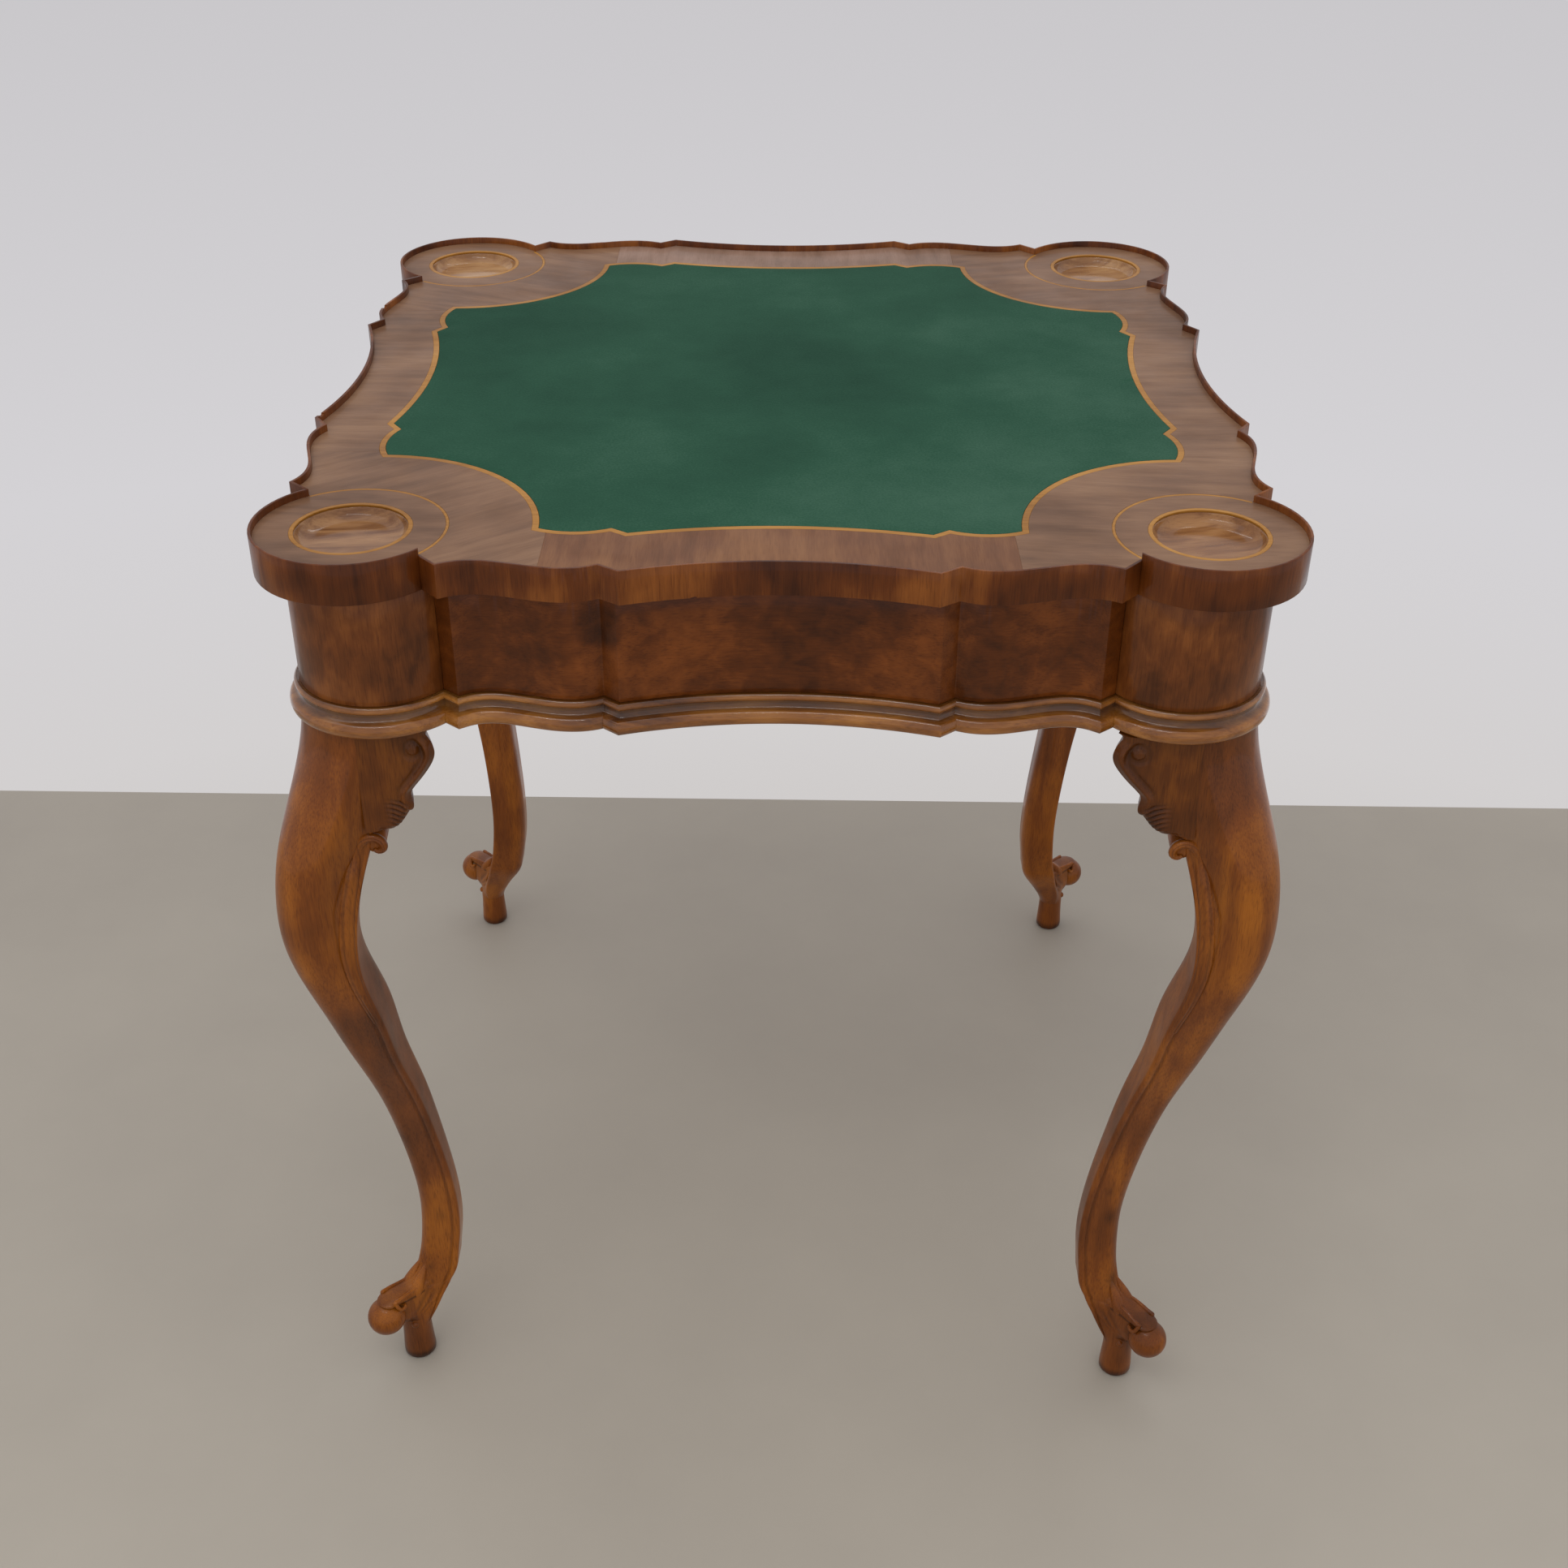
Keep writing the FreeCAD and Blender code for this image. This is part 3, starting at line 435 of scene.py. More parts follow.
def leg_section(level, inner, outer, outer_round, side_round, inner_round, hollow):
    """A ring of points round the leg at one level, and how much painted shade darkens its groove and hollow.
    """
    bead = min(BEAD_RADIUS, side_round)
    edge = outer - hollow
    face_length = outer - outer_round - inner
    groove_at = np.interp(level, GROOVE_HEIGHTS, GROOVE_FROM_EDGE)
    near_end = min(groove_at + 2.4, face_length * 0.6)
    fade = step_up((GROOVE_ENDS_AT - level) / 18)
    back = np.linspace(pi / 4, pi / 2, 8)
    half = [(inner + inner_round * (1 - cos(t)), inner + inner_round * (1 - sin(t)), 0.0) for t in back]
    half += [(x, inner, 0.0) for x in np.linspace(inner + inner_round, edge - bead, 10)[1:]]
    turn = np.linspace(0, pi / 2, 7)
    half += [(edge - bead + bead * sin(t), inner + bead - bead * cos(t), 0.0) for t in turn[1:]]
    near = np.linspace(bead, near_end, 24)[1:]
    far = np.linspace(near_end, face_length, 20)[1:]
    for along in np.concatenate([near, far]):
        fall = fall_back(along, bead, face_length, hollow)
        groove = fade * np.exp(-(((along - groove_at) / 1.2) ** 2))
        painted_darkening = max(groove, HOLLOW_PAINTED_SHADE * fall / DEEPEST_HOLLOW)
        half.append((outer - fall - GROOVE_DEPTH * groove, inner + along, painted_darkening))
    for t in np.linspace(0, pi / 4, 26)[1:]:
        half.append((outer - outer_round * (1 - cos(t)), outer - outer_round * (1 - sin(t)), 0.0))
    half = np.array(half)
    ring = np.concatenate([half, half[-2:0:-1, [1, 0, 2]]])
    return ring[:, :2], ring[:, 2]


stations = np.array(LEG_STATION_SHARES)[::-1]
# Sections lie closest at the lip of the leaf: from level, to level, step
LEVEL_STEPS = [(36, 72, 0.9), (72, 84, 0.4), (84, 104, 0.9), (104, 200, 2.0), (200, LEG_HEIGHT, 3.5)]
leg_levels = np.concatenate([np.arange(float(low), high, step) for low, high, step in LEVEL_STEPS])
leg_levels = np.append(leg_levels, LEG_HEIGHT)
leg_sizes = smooth_run(stations[:, 0] * LEG_HEIGHT, stations[:, 1:] * STOCK, leg_levels)[0]
leg_sizes[:, :2] += STOCK_INNER
leg_hollows = np.interp(leg_levels, HOLLOW_HEIGHTS, HOLLOW_DEPTHS)
leg_hollows = smooth_run(leg_levels[::12], leg_hollows[::12], leg_levels)[0][:, 0].clip(0)
sections = [
    leg_section(level, *sizes, hollow)
    for level, sizes, hollow in zip(leg_levels, leg_sizes, leg_hollows)
]
rings = np.array([ring for ring, painted_darkening in sections])
painted_shade_on_rings = np.array([painted_darkening for ring, painted_darkening in sections])
ring_size = rings.shape[1]
print("leg sections", len(rings), "of", ring_size, "points")

# %% [markdown]
# The foot is a ball in front of a short round peg, under an acanthus leaf. The leaf is part of
# the same wood as the leg, so it is modelled by pushing the leg's own rings outward. At each
# level a ray goes from a centre line to every point of the ring, and the point moves out along it
# until it reaches a tongue there: two straight sides and a round end. One tongue is the leaf,
# which widens downward from its ridge to its lip. The other, shorter one is the trunk under it,
# and the step between them is the shadow line over the ball. Fine flutes fan out from a point
# beside the ball, up over both faces of the leg.

# %% Carve the foot into the rings
PEG_CENTRE = 316.0
PEG_NECK = 12.4
BALL_SET = 335.5
BALL_HEIGHT = 58.8
BALL_RADIUS = 15.9
HEEL_LEVELS = [36, 44, 60, 74, 86, 104, 130, 160]
HEEL_CENTRES = [316, 315.5, 311, 308, 304, 294, 288, 285]
# Level, where the tongue's round end is centred, and half its width
LEAF = [
    (73.0, 332.6, 10.2), (75.6, 332.4, 10.2), (76.4, 331.7, 10.0), (77.2, 330.2, 9.8),
    (78.0, 327.4, 9.5), (78.8, 324.2, 9.2), (79.6, 320.2, 8.7), (80.4, 315.6, 7.9),
    (81.6, 313.0, 6.8), (83.6, 311.4, 5.4), (87.0, 309.4, 3.8), (90.5, 307.4, 2.6),
    (95.0, 304.6, 1.8), (104.0, 300.0, 1.2), (112.0, 296.0, 1.0),
]
TRUNK = [
    (42.0, 318.0, 3.0), (44.5, 321.0, 6.6), (48.0, 323.0, 9.0), (53.0, 323.8, 10.6),
    (60.0, 324.0, 11.2), (68.0, 324.0, 11.0), (73.0, 324.0, 10.6), (76.0, 324.0, 10.0),
]
# The flutes fan out from a star cut beside the ball
STAR_INWARD = 317.0
STAR_HEIGHT = 47.0
FLUTE_DEPTH = 0.9
FLUTE_SPACING_DEGREES = 18
LIP_HEIGHT = 75.0
SCALLOP_DEPTH = 1.8
# Above this level the leg's own sections are left as they are
FOOT_TOP = 150


def soft_larger(one, other, softness):
    """The larger of two lengths, with a small fillet where they cross."""
    blend = np.clip(0.5 + 0.5 * (one - other) / softness, 0, 1)
    return other + (one - other) * blend + softness * blend * (1 - blend)


def tongue(level, stations, centre, angle):
    """How far a tongue reaches along each ray from the centre at a level."""
    levels, ends, widths = np.array(stations).T
    half_width = np.interp(level, levels, widths)
    end = (np.interp(level, levels, ends) - centre) * sqrt(2)
    sine = np.maximum(np.sin(angle), 1e-4)
    straight = np.where(angle < radians(88), half_width / sine, 0)
    far = end * np.cos(angle) + np.sqrt(np.maximum(half_width**2 - (end * sine) ** 2, 0))
    return np.where(straight * np.cos(angle) < end, straight, far)


def carve_foot(level, ring):
    """Moves one ring of the foot, and says how much painted shade darkens each of its points."""
    # Each point of the ring becomes a length and a turn from the centre line
    centre = np.interp(level, HEEL_LEVELS, HEEL_CENTRES)
    out = (ring.sum(axis=1) / 2 - centre) * sqrt(2)
    side = (ring[:, 0] - ring[:, 1]) / sqrt(2)
    turn = np.arctan2(side, out)
    angle = np.abs(turn)
    degrees = np.degrees(angle)
    length = np.hypot(out, side)

    # Toward the floor the square section becomes the peg's round neck
    peg_out = (PEG_CENTRE - centre) * sqrt(2)
    neck_side = peg_out * np.sin(angle)
    round_neck = peg_out * np.cos(angle) + np.sqrt(np.maximum(PEG_NECK**2 - neck_side**2, 0))
    length = round_neck + (length - round_neck) * (1 - (1 - np.clip((level - 35) / 62, 0, 1)) ** 1.6)

    # Flutes are spokes that leave the star at even angles and fade with distance
    inward = ring.min(axis=1)
    spoke = np.degrees(np.arctan2(level - STAR_HEIGHT, STAR_INWARD - inward))
    from_star = np.hypot(level - STAR_HEIGHT, STAR_INWARD - inward)
    flute_zone = step_up((spoke - 22) / 12) * step_up((112 - spoke) / 12) * step_up((from_star - 7) / 8)
    flute_zone = flute_zone * step_up((46 - from_star) / 24) * (degrees < 150)
    flute = 0.5 - 0.5 * np.cos(2 * pi * spoke / FLUTE_SPACING_DEGREES)
    length = length - FLUTE_DEPTH * flute * flute_zone

    # The trunk and the leaf push the ring out, the leaf only above its scalloped lip
    scallop = np.exp(-(((degrees - 12) / 8) ** 2))
    lip = LIP_HEIGHT - SCALLOP_DEPTH * scallop
    over_lip = step_up((level - lip) / 0.9) * step_up((118 - level) / 16)
    body = soft_larger(np.minimum(tongue(level, TRUNK, centre, angle), length + 40), length, 4.0)
    body = length + (body - length) * step_up((level - 41) / 4) * step_up((100 - level) / 20)
    leafed = soft_larger(np.minimum(tongue(level, LEAF, centre, angle), length + 60), length, 1.8)
    vein = 0.5 - 0.5 * np.cos(np.radians((degrees - 1) * 60))
    on_top = step_up((level - 76.2) / 1.2) * step_up((83 - level) / 3)
    leafed -= (0.35 + 2.2 * on_top) * vein * step_up((20 - degrees) / 4)
    carved = body + (leafed - body) * over_lip

    # Painted shadow lies under the lip, and painted shade in the flutes, in the leaf's veins and in the star
    shade = 0.9 * np.exp(-(((level - lip + 0.6) / 1.3) ** 2)) * (degrees < 60)
    shade = np.maximum(shade, 0.45 * flute * flute_zone)
    shade = np.maximum(shade, 0.35 * vein * on_top * (degrees < 17))
    shade = np.maximum(shade, 0.8 * np.exp(-((from_star / 5.0) ** 2)))
    out, side = carved * np.cos(turn), carved * np.sin(turn)
    moved = np.column_stack([centre + (out + side) / sqrt(2), centre + (out - side) / sqrt(2)])
    return moved, shade


painted_shade_on_leg = painted_shade_on_rings * 0.35
for row, level in enumerate(leg_levels):
    if level < FOOT_TOP:
        moved, shade = carve_foot(level, rings[row])
        fade = step_up((FOOT_TOP - level) / 15)
        rings[row] += (moved - rings[row]) * fade
        painted_shade_on_leg[row] = np.maximum(painted_shade_on_leg[row], shade * fade)
print("rings in the foot", int((leg_levels < FOOT_TOP).sum()))

# %% [markdown]
# The peg, the ball and the small bosses at the heel are round shapes: a profile spun round an
# axis. So is the plump lobe that hangs at each side of the leaf, a drop that is half sunk in the
# foot. A spun shape needs few points along its line and as many as look round about it.

# %% Peg, tenon, ball, side lobes and bosses
UPRIGHT = (0, 0, 1)
# Level and radius, up the peg
PEG_PROFILE = [(0.0, 12.0), (2.0, 13.4), (6.0, 13.5), (16.0, 12.9), (28.0, 12.3), (38.0, 12.2), (46.0, 12.0)]
TENON_RADIUS = 14.0
TENON_ROOT = 10.0
TENON_TOP = 713.0
TENON_CENTRE = 298.0


def spun(profile, foot, axis, sides=32):
    """A profile of (distance along the axis, radius), spun round the axis, and its faces."""
    axis = Vector(axis).normalized()
    across = axis.orthogonal().normalized()
    beside = axis.cross(across)
    points = []
    for along, radius in profile:
        for step in range(sides):
            turn = 2 * pi * step / sides
            points.append(Vector(foot) + axis * along + (across * cos(turn) + beside * sin(turn)) * radius)
    faces = grid_faces(len(profile), sides, ring=True)
    faces += [tuple(reversed(range(sides))), tuple(range(len(points) - sides, len(points)))]
    return np.array(points), faces


def ball_profile(radius, count):
    """A half circle, open by a hair at its two ends."""
    return [(-radius * cos(t), radius * sin(t)) for t in np.linspace(0.05, pi - 0.05, count)]


peg = spun(PEG_PROFILE, (PEG_CENTRE, PEG_CENTRE, 0), UPRIGHT)
ball = spun(ball_profile(BALL_RADIUS, 26), (BALL_SET, BALL_SET, BALL_HEIGHT), (1, 1, 0), sides=44)
boss = spun(ball_profile(3.2, 12), (PEG_CENTRE - 1.0, PEG_CENTRE + 11.2, 41.0), (0, 1, 0), sides=18)
# Distance down the lobe, and its radius there
LOBE_PROFILE = [(0, 0.5), (6, 2.2), (13, 3.8), (20, 5.0), (26, 5.4), (30, 4.9)]
LOBE_PROFILE += [(33, 3.4), (34.4, 1.8), (34.9, 0.4)]
LOBE_TOP = np.array((302.6, 307.6, 97.0))
LOBE_FALL = np.array((17.2, 22.8, -39.5))
side_lobe = spun(rounded(LOBE_PROFILE, 22).tolist(), LOBE_TOP, LOBE_FALL, sides=24)
tenon_profile = [(LEG_HEIGHT - TENON_ROOT, TENON_RADIUS), (TENON_TOP, TENON_RADIUS)]
tenon = spun(tenon_profile, (TENON_CENTRE, TENON_CENTRE, 0), UPRIGHT)
print("ball stands", round(BALL_HEIGHT - BALL_RADIUS, 1), "mm above the floor")

# %% [markdown]
# Under each bracket a reeded band curls over a small disc, and runs down the edge of the leg until
# it is no more than the bead that the sections already have. A band is a flat round section
# carried along a line, with two fine grooves cut along it. A second, thin one edges the leaf.


# %% Scrolls, bands and the edge of the leaf
SCROLL_X = 284.5
SCROLL_Y = 331.0
SCROLL_Z = 550.5
REED_PLACE_SHARES = (-0.42, 0.25)
REED_WIDTH_SHARE = 0.14


def strap(path, half_widths, half_heights, reed=0.0, sides=24):
    """A flat round section carried along a path: its points, its faces, and the painted shade at each point.

    The reed is how deep its two grooves are cut.
    """
    path = np.asarray(path, float)
    along = np.gradient(path, axis=0)
    along /= np.linalg.norm(along, axis=1)[:, None]
    points = []
    dark = []
    for place, direction, width, height in zip(path, along, half_widths, half_heights):
        across = np.cross(direction, (0.0, 1.0, 0.0))
        across /= np.linalg.norm(across)
        forward = np.cross(across, direction)
        forward *= np.sign(forward[1])
        for step in range(sides):
            turn = 2 * pi * step / sides
            groove = sum(np.exp(-(((cos(turn) - at) / REED_WIDTH_SHARE) ** 2)) for at in REED_PLACE_SHARES)
            groove *= max(0.0, sin(turn))
            rise = height * sin(turn) - reed * groove
            points.append(place + across * width * cos(turn) + forward * rise)
            # Painted shade in the two reed grooves and along the band's edges, where it meets the leg
            beside_edge = abs(cos(turn)) ** 6
            dark.append((0.45 * groove + 0.4 * beside_edge) * (reed > 0))
    faces = grid_faces(len(path), sides, ring=True)
    faces += [tuple(reversed(range(sides))), tuple(range(len(points) - sides, len(points)))]
    return np.array(points), faces, dark


def face_place(level, along):
    """A point on the leg's face at a level, so far along it from its inner edge."""
    inner, outer, outer_round = (
        np.interp(level, leg_levels, leg_sizes[:, column]) for column in range(3)
    )
    hollow = np.interp(level, leg_levels, leg_hollows)
    fall = fall_back(along, BEAD_RADIUS, outer - outer_round - inner, hollow)
    return inner + along, outer - fall


# The band's curl, across and up from the scroll's middle, and its tail: level, and distance from
# the inner edge
CURL = [
    (0.4, -3.0), (-3.6, -4.6), (-6.2, -2.0), (-6.0, 2.2), (-2.6, 5.8), (2.8, 6.6), (8.4, 3.8),
    (12.8, -2.4), (15.4, -11.0),
]
TAIL = [(526, 9.0), (508, 8.4), (488, 7.6), (462, 6.6), (430, 5.2), (395, 4.0)]
places = [(SCROLL_X + across, SCROLL_Z + up) for across, up in CURL]
places += [(face_place(level, along)[0], level) for level, along in TAIL]
band_path = []
for x, level in curve(places, step=1.5)[0]:
    inner = np.interp(level, leg_levels, leg_sizes[:, 0])
    surface = face_place(level, max(x - inner, BEAD_RADIUS))[1]
    join = step_up((SCROLL_Z + 2 - level) / 26) * (x > SCROLL_X)
    band_path.append((x, (SCROLL_Y - 2.0) * (1 - join) + (surface - 1.0) * join, level))
share = np.linspace(0, 1, len(band_path))
half_widths = np.interp(share, [0, 0.04, 0.10, 0.20, 0.34, 0.55, 1], [1.6, 3.0, 3.4, 4.6, 6.0, 6.2, 3.4])
half_heights = np.interp(share, [0, 0.06, 0.3, 0.5, 0.8, 1], [1.8, 3.6, 4.4, 4.2, 2.8, 1.2])
scroll_band = strap(band_path, half_widths, half_heights, reed=0.5)
scroll_profile = [(-40.0, 5.0), (-30.0, 6.0), (-5.6, 7.6), (-3.6, 7.0), (-2.4, 5.0), (-1.8, 2.6), (-1.6, 0.4)]
scroll_drum = spun(scroll_profile, (SCROLL_X, SCROLL_Y, SCROLL_Z), (0, 1, 0))

# The leaf's edge, as places out, sideways from the middle of the corner, and up: it follows the
# leaf's own shape, 70 degrees round its tip, and ends in a small curl
ROUND_TIP = radians(70)
leaf_edge_line = [
    (end + width * cos(ROUND_TIP) / sqrt(2), width * sin(ROUND_TIP), level)
    for level, end, width in reversed(LEAF)
    if 77 < level < 100
]
leaf_edge_line += [(331.9, 10.4, 74.6), (331.2, 11.3, 71.6), (329.2, 11.8, 69.6)]
leaf_edge_line += [(327.0, 11.4, 70.8), (327.2, 10.6, 72.8)]
edge_places = [(out - side / sqrt(2), out + side / sqrt(2), level) for out, side, level in leaf_edge_line]
edge_knots = np.concatenate([[0], np.cumsum(np.linalg.norm(np.diff(edge_places, axis=0), axis=1))])
edge_path = smooth_run(edge_knots, edge_places, np.linspace(0, edge_knots[-1], 44))[0]
edge_radii = np.interp(np.linspace(0, 1, 44), [0, 0.3, 0.75, 1], [0.5, 1.1, 1.8, 1.6])
leaf_edge = strap(edge_path, edge_radii, edge_radii, sides=10)
print("points in a scroll's band", len(scroll_band[0]))

# %% [markdown]
# All of a leg's shapes are kept in one mesh, as they are one piece of wood. One leg is drawn and
# used four times: turned to its corner, given its own lean, and darkened where that leg has knots.


# %% Join the legs, each with its own lean
# The real legs were set by eye: each foot stands a little off its regular place, and the lean
# grows from the frame down to the foot. It is given in shares of the stock, to the right and back.
FOOT_LEAN_SHARES = {
    "back_right": (-0.11, 0.06),
    "back_left": (-0.15, 0.09),
    "front_left": (0.06, 0.18),
    "front_right": (-0.27, 0.02),
}
LEAN_ENDS_AT = 71.5
# No two feet were carved alike: how much higher than usual each toe was cut, in millimetres
TOE_RISE = {"back_right": 0.0, "back_left": 0.0, "front_left": 2.2, "front_right": -2.4}


def leaned(points, corner, quarters):
    """Turns a leg to its corner, and moves each level by its part of the lean."""
    placed = turned(points, quarters)
    toe = step_up((points[:, :2].sum(axis=1) / 2 - 318) / 14) * step_up((points[:, 2] - 34) / 10)
    placed[:, 2] += TOE_RISE[corner] * toe * step_up((130 - points[:, 2]) / 30)
    growth = np.clip((LEG_HEIGHT - points[:, 2]) / (LEG_HEIGHT - LEAN_ENDS_AT), 0, 1) ** 1.5
    placed[:, :2] += growth[:, None] * np.array(FOOT_LEAN_SHARES[corner]) * STOCK
    return placed


def swapped(shape):
    """The same shape on the other face of the corner."""
    points, faces = shape
    return points[:, [1, 0, 2]], [tuple(reversed(face)) for face in faces]


loft_points = np.column_stack([rings.reshape(-1, 2), np.repeat(leg_levels, ring_size)])
loft_faces = grid_faces(len(rings), ring_size, ring=True)
top_ring = len(loft_points) - ring_size
loft_faces += [tuple(reversed(range(ring_size))), tuple(range(top_ring, len(loft_points)))]
band_dark = scroll_band[2]
leg_shapes = [(loft_points, loft_faces)]
paired_shapes = [scroll_band[:2], leaf_edge[:2], boss, side_lobe, scroll_drum]
leg_shapes += [shape for made in paired_shapes for shape in (made, swapped(made))]
leg_shapes += [peg, tenon, ball]
leg_points = np.concatenate([points for points, faces in leg_shapes])
leg_dark = np.zeros(len(leg_points))
leg_dark[: len(loft_points)] = painted_shade_on_leg.ravel()
leg_dark[len(loft_points) :][: 2 * len(band_dark)] = band_dark * 2
leg_faces = []
passed = 0
for points, faces in leg_shapes:
    leg_faces += [tuple(index + passed for index in face) for face in faces]
    passed += len(points)


# Knots and old knocks on the two front legs: leg, place on its front face, reach, darkness. The
# front right leg is turned a quarter further, so its front is the other face of the drawing.
KNOTS = [
    ("front_right", (293, 303, 165), 5.0, 0.7),
    ("front_right", (305, 310, 99), 4.5, 0.8),
    ("front_right", (287, 304, 194), 4.0, 0.4),
    ("front_right", (328, 342, 559), 4.0, 0.5),
    ("front_left", (285, 303, 150), 4.0, 0.35),
    ("front_left", (299, 311, 95), 4.0, 0.4),
]
legs = []
for quarters, corner in enumerate(CORNERS):
    name = "leg_" + corner
    placed = leaned(leg_points, corner, quarters)
    leg = make_piece(name + "_carved", placed, leg_faces, "frame", [name])
    dark = leg_dark.copy()
    for where, place, reach, darkness in KNOTS:
        if where == corner:
            place = place if corner == "front_left" else (place[1], place[0], place[2])
            away = np.linalg.norm((leg_points - place) / (1, 1, 1.6), axis=1)
            dark = np.maximum(dark, darkness * np.exp(-((away / reach) ** 2)))
    keep_painted_shade_and_knots(leg, dark)
    legs.append(leg)
print("faces on a leg", len(legs[0].data.polygons))

# %% [markdown]
# ## Brackets
# A carved bracket fills the corner between leg and frame: a lobe with a soft raised rim and a
# small flat disc, then a fan of fine cuts over a short hook. It is low relief, which is a flat
# shape with a height at each point, so the outline is filled with a fine net of points and each
# one is pushed out or in. The back is cut in under the front, as a carver thins such an edge.

# %% Outline and net of a bracket
BRACKET_FACE = 278.9
BRACKET_REACH = 46.0
BRACKET_FOOT = 556.0
BRACKET_HEIGHT = 87.0
BRACKET_FRONT = 332.0
BRACKET_BACK = 304.0
BRACKET_TOP_SHARES = [(1.00, 1.00), (0.96, 0.985), (0.935, 0.965), (0.93, 0.945)]
BRACKET_LOBE_SHARES = [(0.93, 0.945), (1.02, 0.86), (1.045, 0.79), (0.93, 0.645), (0.76, 0.53), (0.61, 0.44)]
BRACKET_HOOK_SHARES = [(0.61, 0.44), (0.585, 0.375), (0.61, 0.315), (0.60, 0.275), (0.53, 0.255)]
BRACKET_TOE_SHARES = [(0.53, 0.255), (0.45, 0.195), (0.33, 0.125), (0.19, 0.09), (0.06, 0.085)]


def bracket_place(share):
    """A place on the bracket's face, from its shares of reach and height."""
    return np.array((BRACKET_FACE - share[0] * BRACKET_REACH, BRACKET_FOOT + share[1] * BRACKET_HEIGHT))


carved_runs = [BRACKET_TOP_SHARES, BRACKET_LOBE_SHARES, BRACKET_HOOK_SHARES, BRACKET_TOE_SHARES]
carved_edge = [curve([bracket_place(share) for share in shares], step=1.1)[0] for shares in carved_runs]
lobe_edge = np.concatenate(carved_edge[1:3])
root = [bracket_place(share) for share in ((-0.22, 0.085), (-0.22, 0.5), (-0.22, 1.0), (0.4, 1.0))]
bracket_edge = np.concatenate([run[:-1] for run in carved_edge] + [carved_edge[-1][-1:], root])


def inside(points, outline):
    """Which points lie inside a closed outline."""
    x, y = points[:, 0][:, None], points[:, 1][:, None]
    x0, y0 = outline[:, 0], outline[:, 1]
    x1, y1 = np.roll(x0, -1), np.roll(y0, -1)
    crosses = (y0 > y) != (y1 > y)
    with np.errstate(divide="ignore", invalid="ignore"):
        where = x0 + (y - y0) * (x1 - x0) / (y1 - y0)
    return (crosses & (x < where)).sum(axis=1) % 2 == 1


def distance_to(points, run):
    """How far each point is from the nearest point of a line."""
    return np.sqrt(((points[:, None, :] - run[None, :, :]) ** 2).sum(axis=2)).min(axis=1)


net_step = 0.8
low, high = bracket_edge.min(axis=0), bracket_edge.max(axis=0)
columns_x, rows_z = np.meshgrid(np.arange(low[0], high[0], net_step), np.arange(low[1], high[1], net_step))
net = np.column_stack([columns_x.ravel(), rows_z.ravel()])
net = net[inside(net, bracket_edge)]
net = net[distance_to(net, bracket_edge) > 0.6]
flat_points = np.concatenate([bracket_edge, net])
edge_count = len(bracket_edge)
links = [(index, (index + 1) % edge_count) for index in range(edge_count)]
filled = geometry.delaunay_2d_cdt([Vector(point) for point in flat_points], links, [], 1, 0.001)
net_points = np.array([tuple(point) for point in filled[0]])
net_faces = [tuple(face) for face in filled[2]]
print("points in a bracket's relief", len(net_points))

# %% [markdown]
# The height of the relief is a sum of simple forms: a slope that sinks the outer part, a rim and
# a valley that follow the lobe's edge, a disc in its moat, and a fan of ribs. Painted shade darkens
# the relief where it is deep. Behind the skin two smaller copies of the outline make the undercut edge.

# %% Carve and place the brackets
RIM_INSET = 4.4
VALLEY_INSET = 8.8
DISC_PLACE = bracket_place((0.70, 0.84))
DISC_RADIUS = 3.6
FAN_CENTRE = bracket_place((0.08, 0.0))
FAN_RADIUS = 24.0
RIB_SPACING = 3.7
MIDDLE_CUT_SHARE = 0.97
UNDER_CUT_SHARE = 0.85
MIDDLE_CUT_DEPTH = 14.0


def relief(points):
    """How far each point of the bracket's face stands behind its front, and how much painted shade darkens
    it.

    The first number of each form is its depth in millimetres.
    """
    from_lobe = distance_to(points, lobe_edge)
    from_rim = distance_to(points, np.concatenate(carved_edge))
    reach = (BRACKET_FACE - points[:, 0]) / BRACKET_REACH
    height = (points[:, 1] - BRACKET_FOOT) / BRACKET_HEIGHT
    below_top = np.clip((0.97 - height) * 8, 0, 1)
    sunk = 4.4 * np.clip(reach * 1.5, 0, 1) ** 1.5 * np.clip((height - 0.12) * 4, 0, 1)
    rim = 2.2 * np.exp(-(((from_lobe - RIM_INSET) / 2.2) ** 2))
    rim = rim * np.clip((height - 0.24) * 6, 0, 1) * below_top
    valley = 1.2 * np.exp(-(((from_lobe - VALLEY_INSET) / 2.0) ** 2))
    valley = valley * np.clip((height - 0.3) * 5, 0, 1) * below_top
    from_disc = np.linalg.norm(points - DISC_PLACE, axis=1)
    disc = 1.5 / (1 + np.exp((from_disc - DISC_RADIUS) / 0.5))
    moat = 1.2 * np.exp(-(((from_disc - DISC_RADIUS - 2.8) / 2.4) ** 2))
    from_fan = np.linalg.norm(points - FAN_CENTRE, axis=1)
    ribs = 0.5 - 0.5 * np.cos(from_fan * 2 * pi / RIB_SPACING)
    fan = np.clip((15 - np.abs(from_fan - FAN_RADIUS)) / 5, 0, 1) * np.clip((reach - 0.12) * 6, 0, 1)
    fan = fan * np.clip((0.44 - height) * 12, 0, 1) * np.clip((from_lobe - 2.0) * 0.6, 0, 1)
    rounding = 5.2 * np.exp(-((from_rim / 2.6) ** 1.3))
    drop = sunk - rim + valley - disc + moat + fan * 1.3 * ribs + rounding
    # Painted shade: darker under the moulding, over the sunk outer part, in the valley, the moat and the
    # fan's cuts, and a little less on the raised rim
    under_moulding = np.clip((height - 0.80) * 4, 0, 1)
    outer_part = step_up((reach - 0.05) * 2.2)
    dark = 0.16 * outer_part + 0.2 * valley + 0.25 * moat - 0.1 * rim
    dark += 0.65 * fan * ribs + 0.3 * under_moulding
    return np.maximum(drop, 0.1), np.clip(dark, 0, 1)


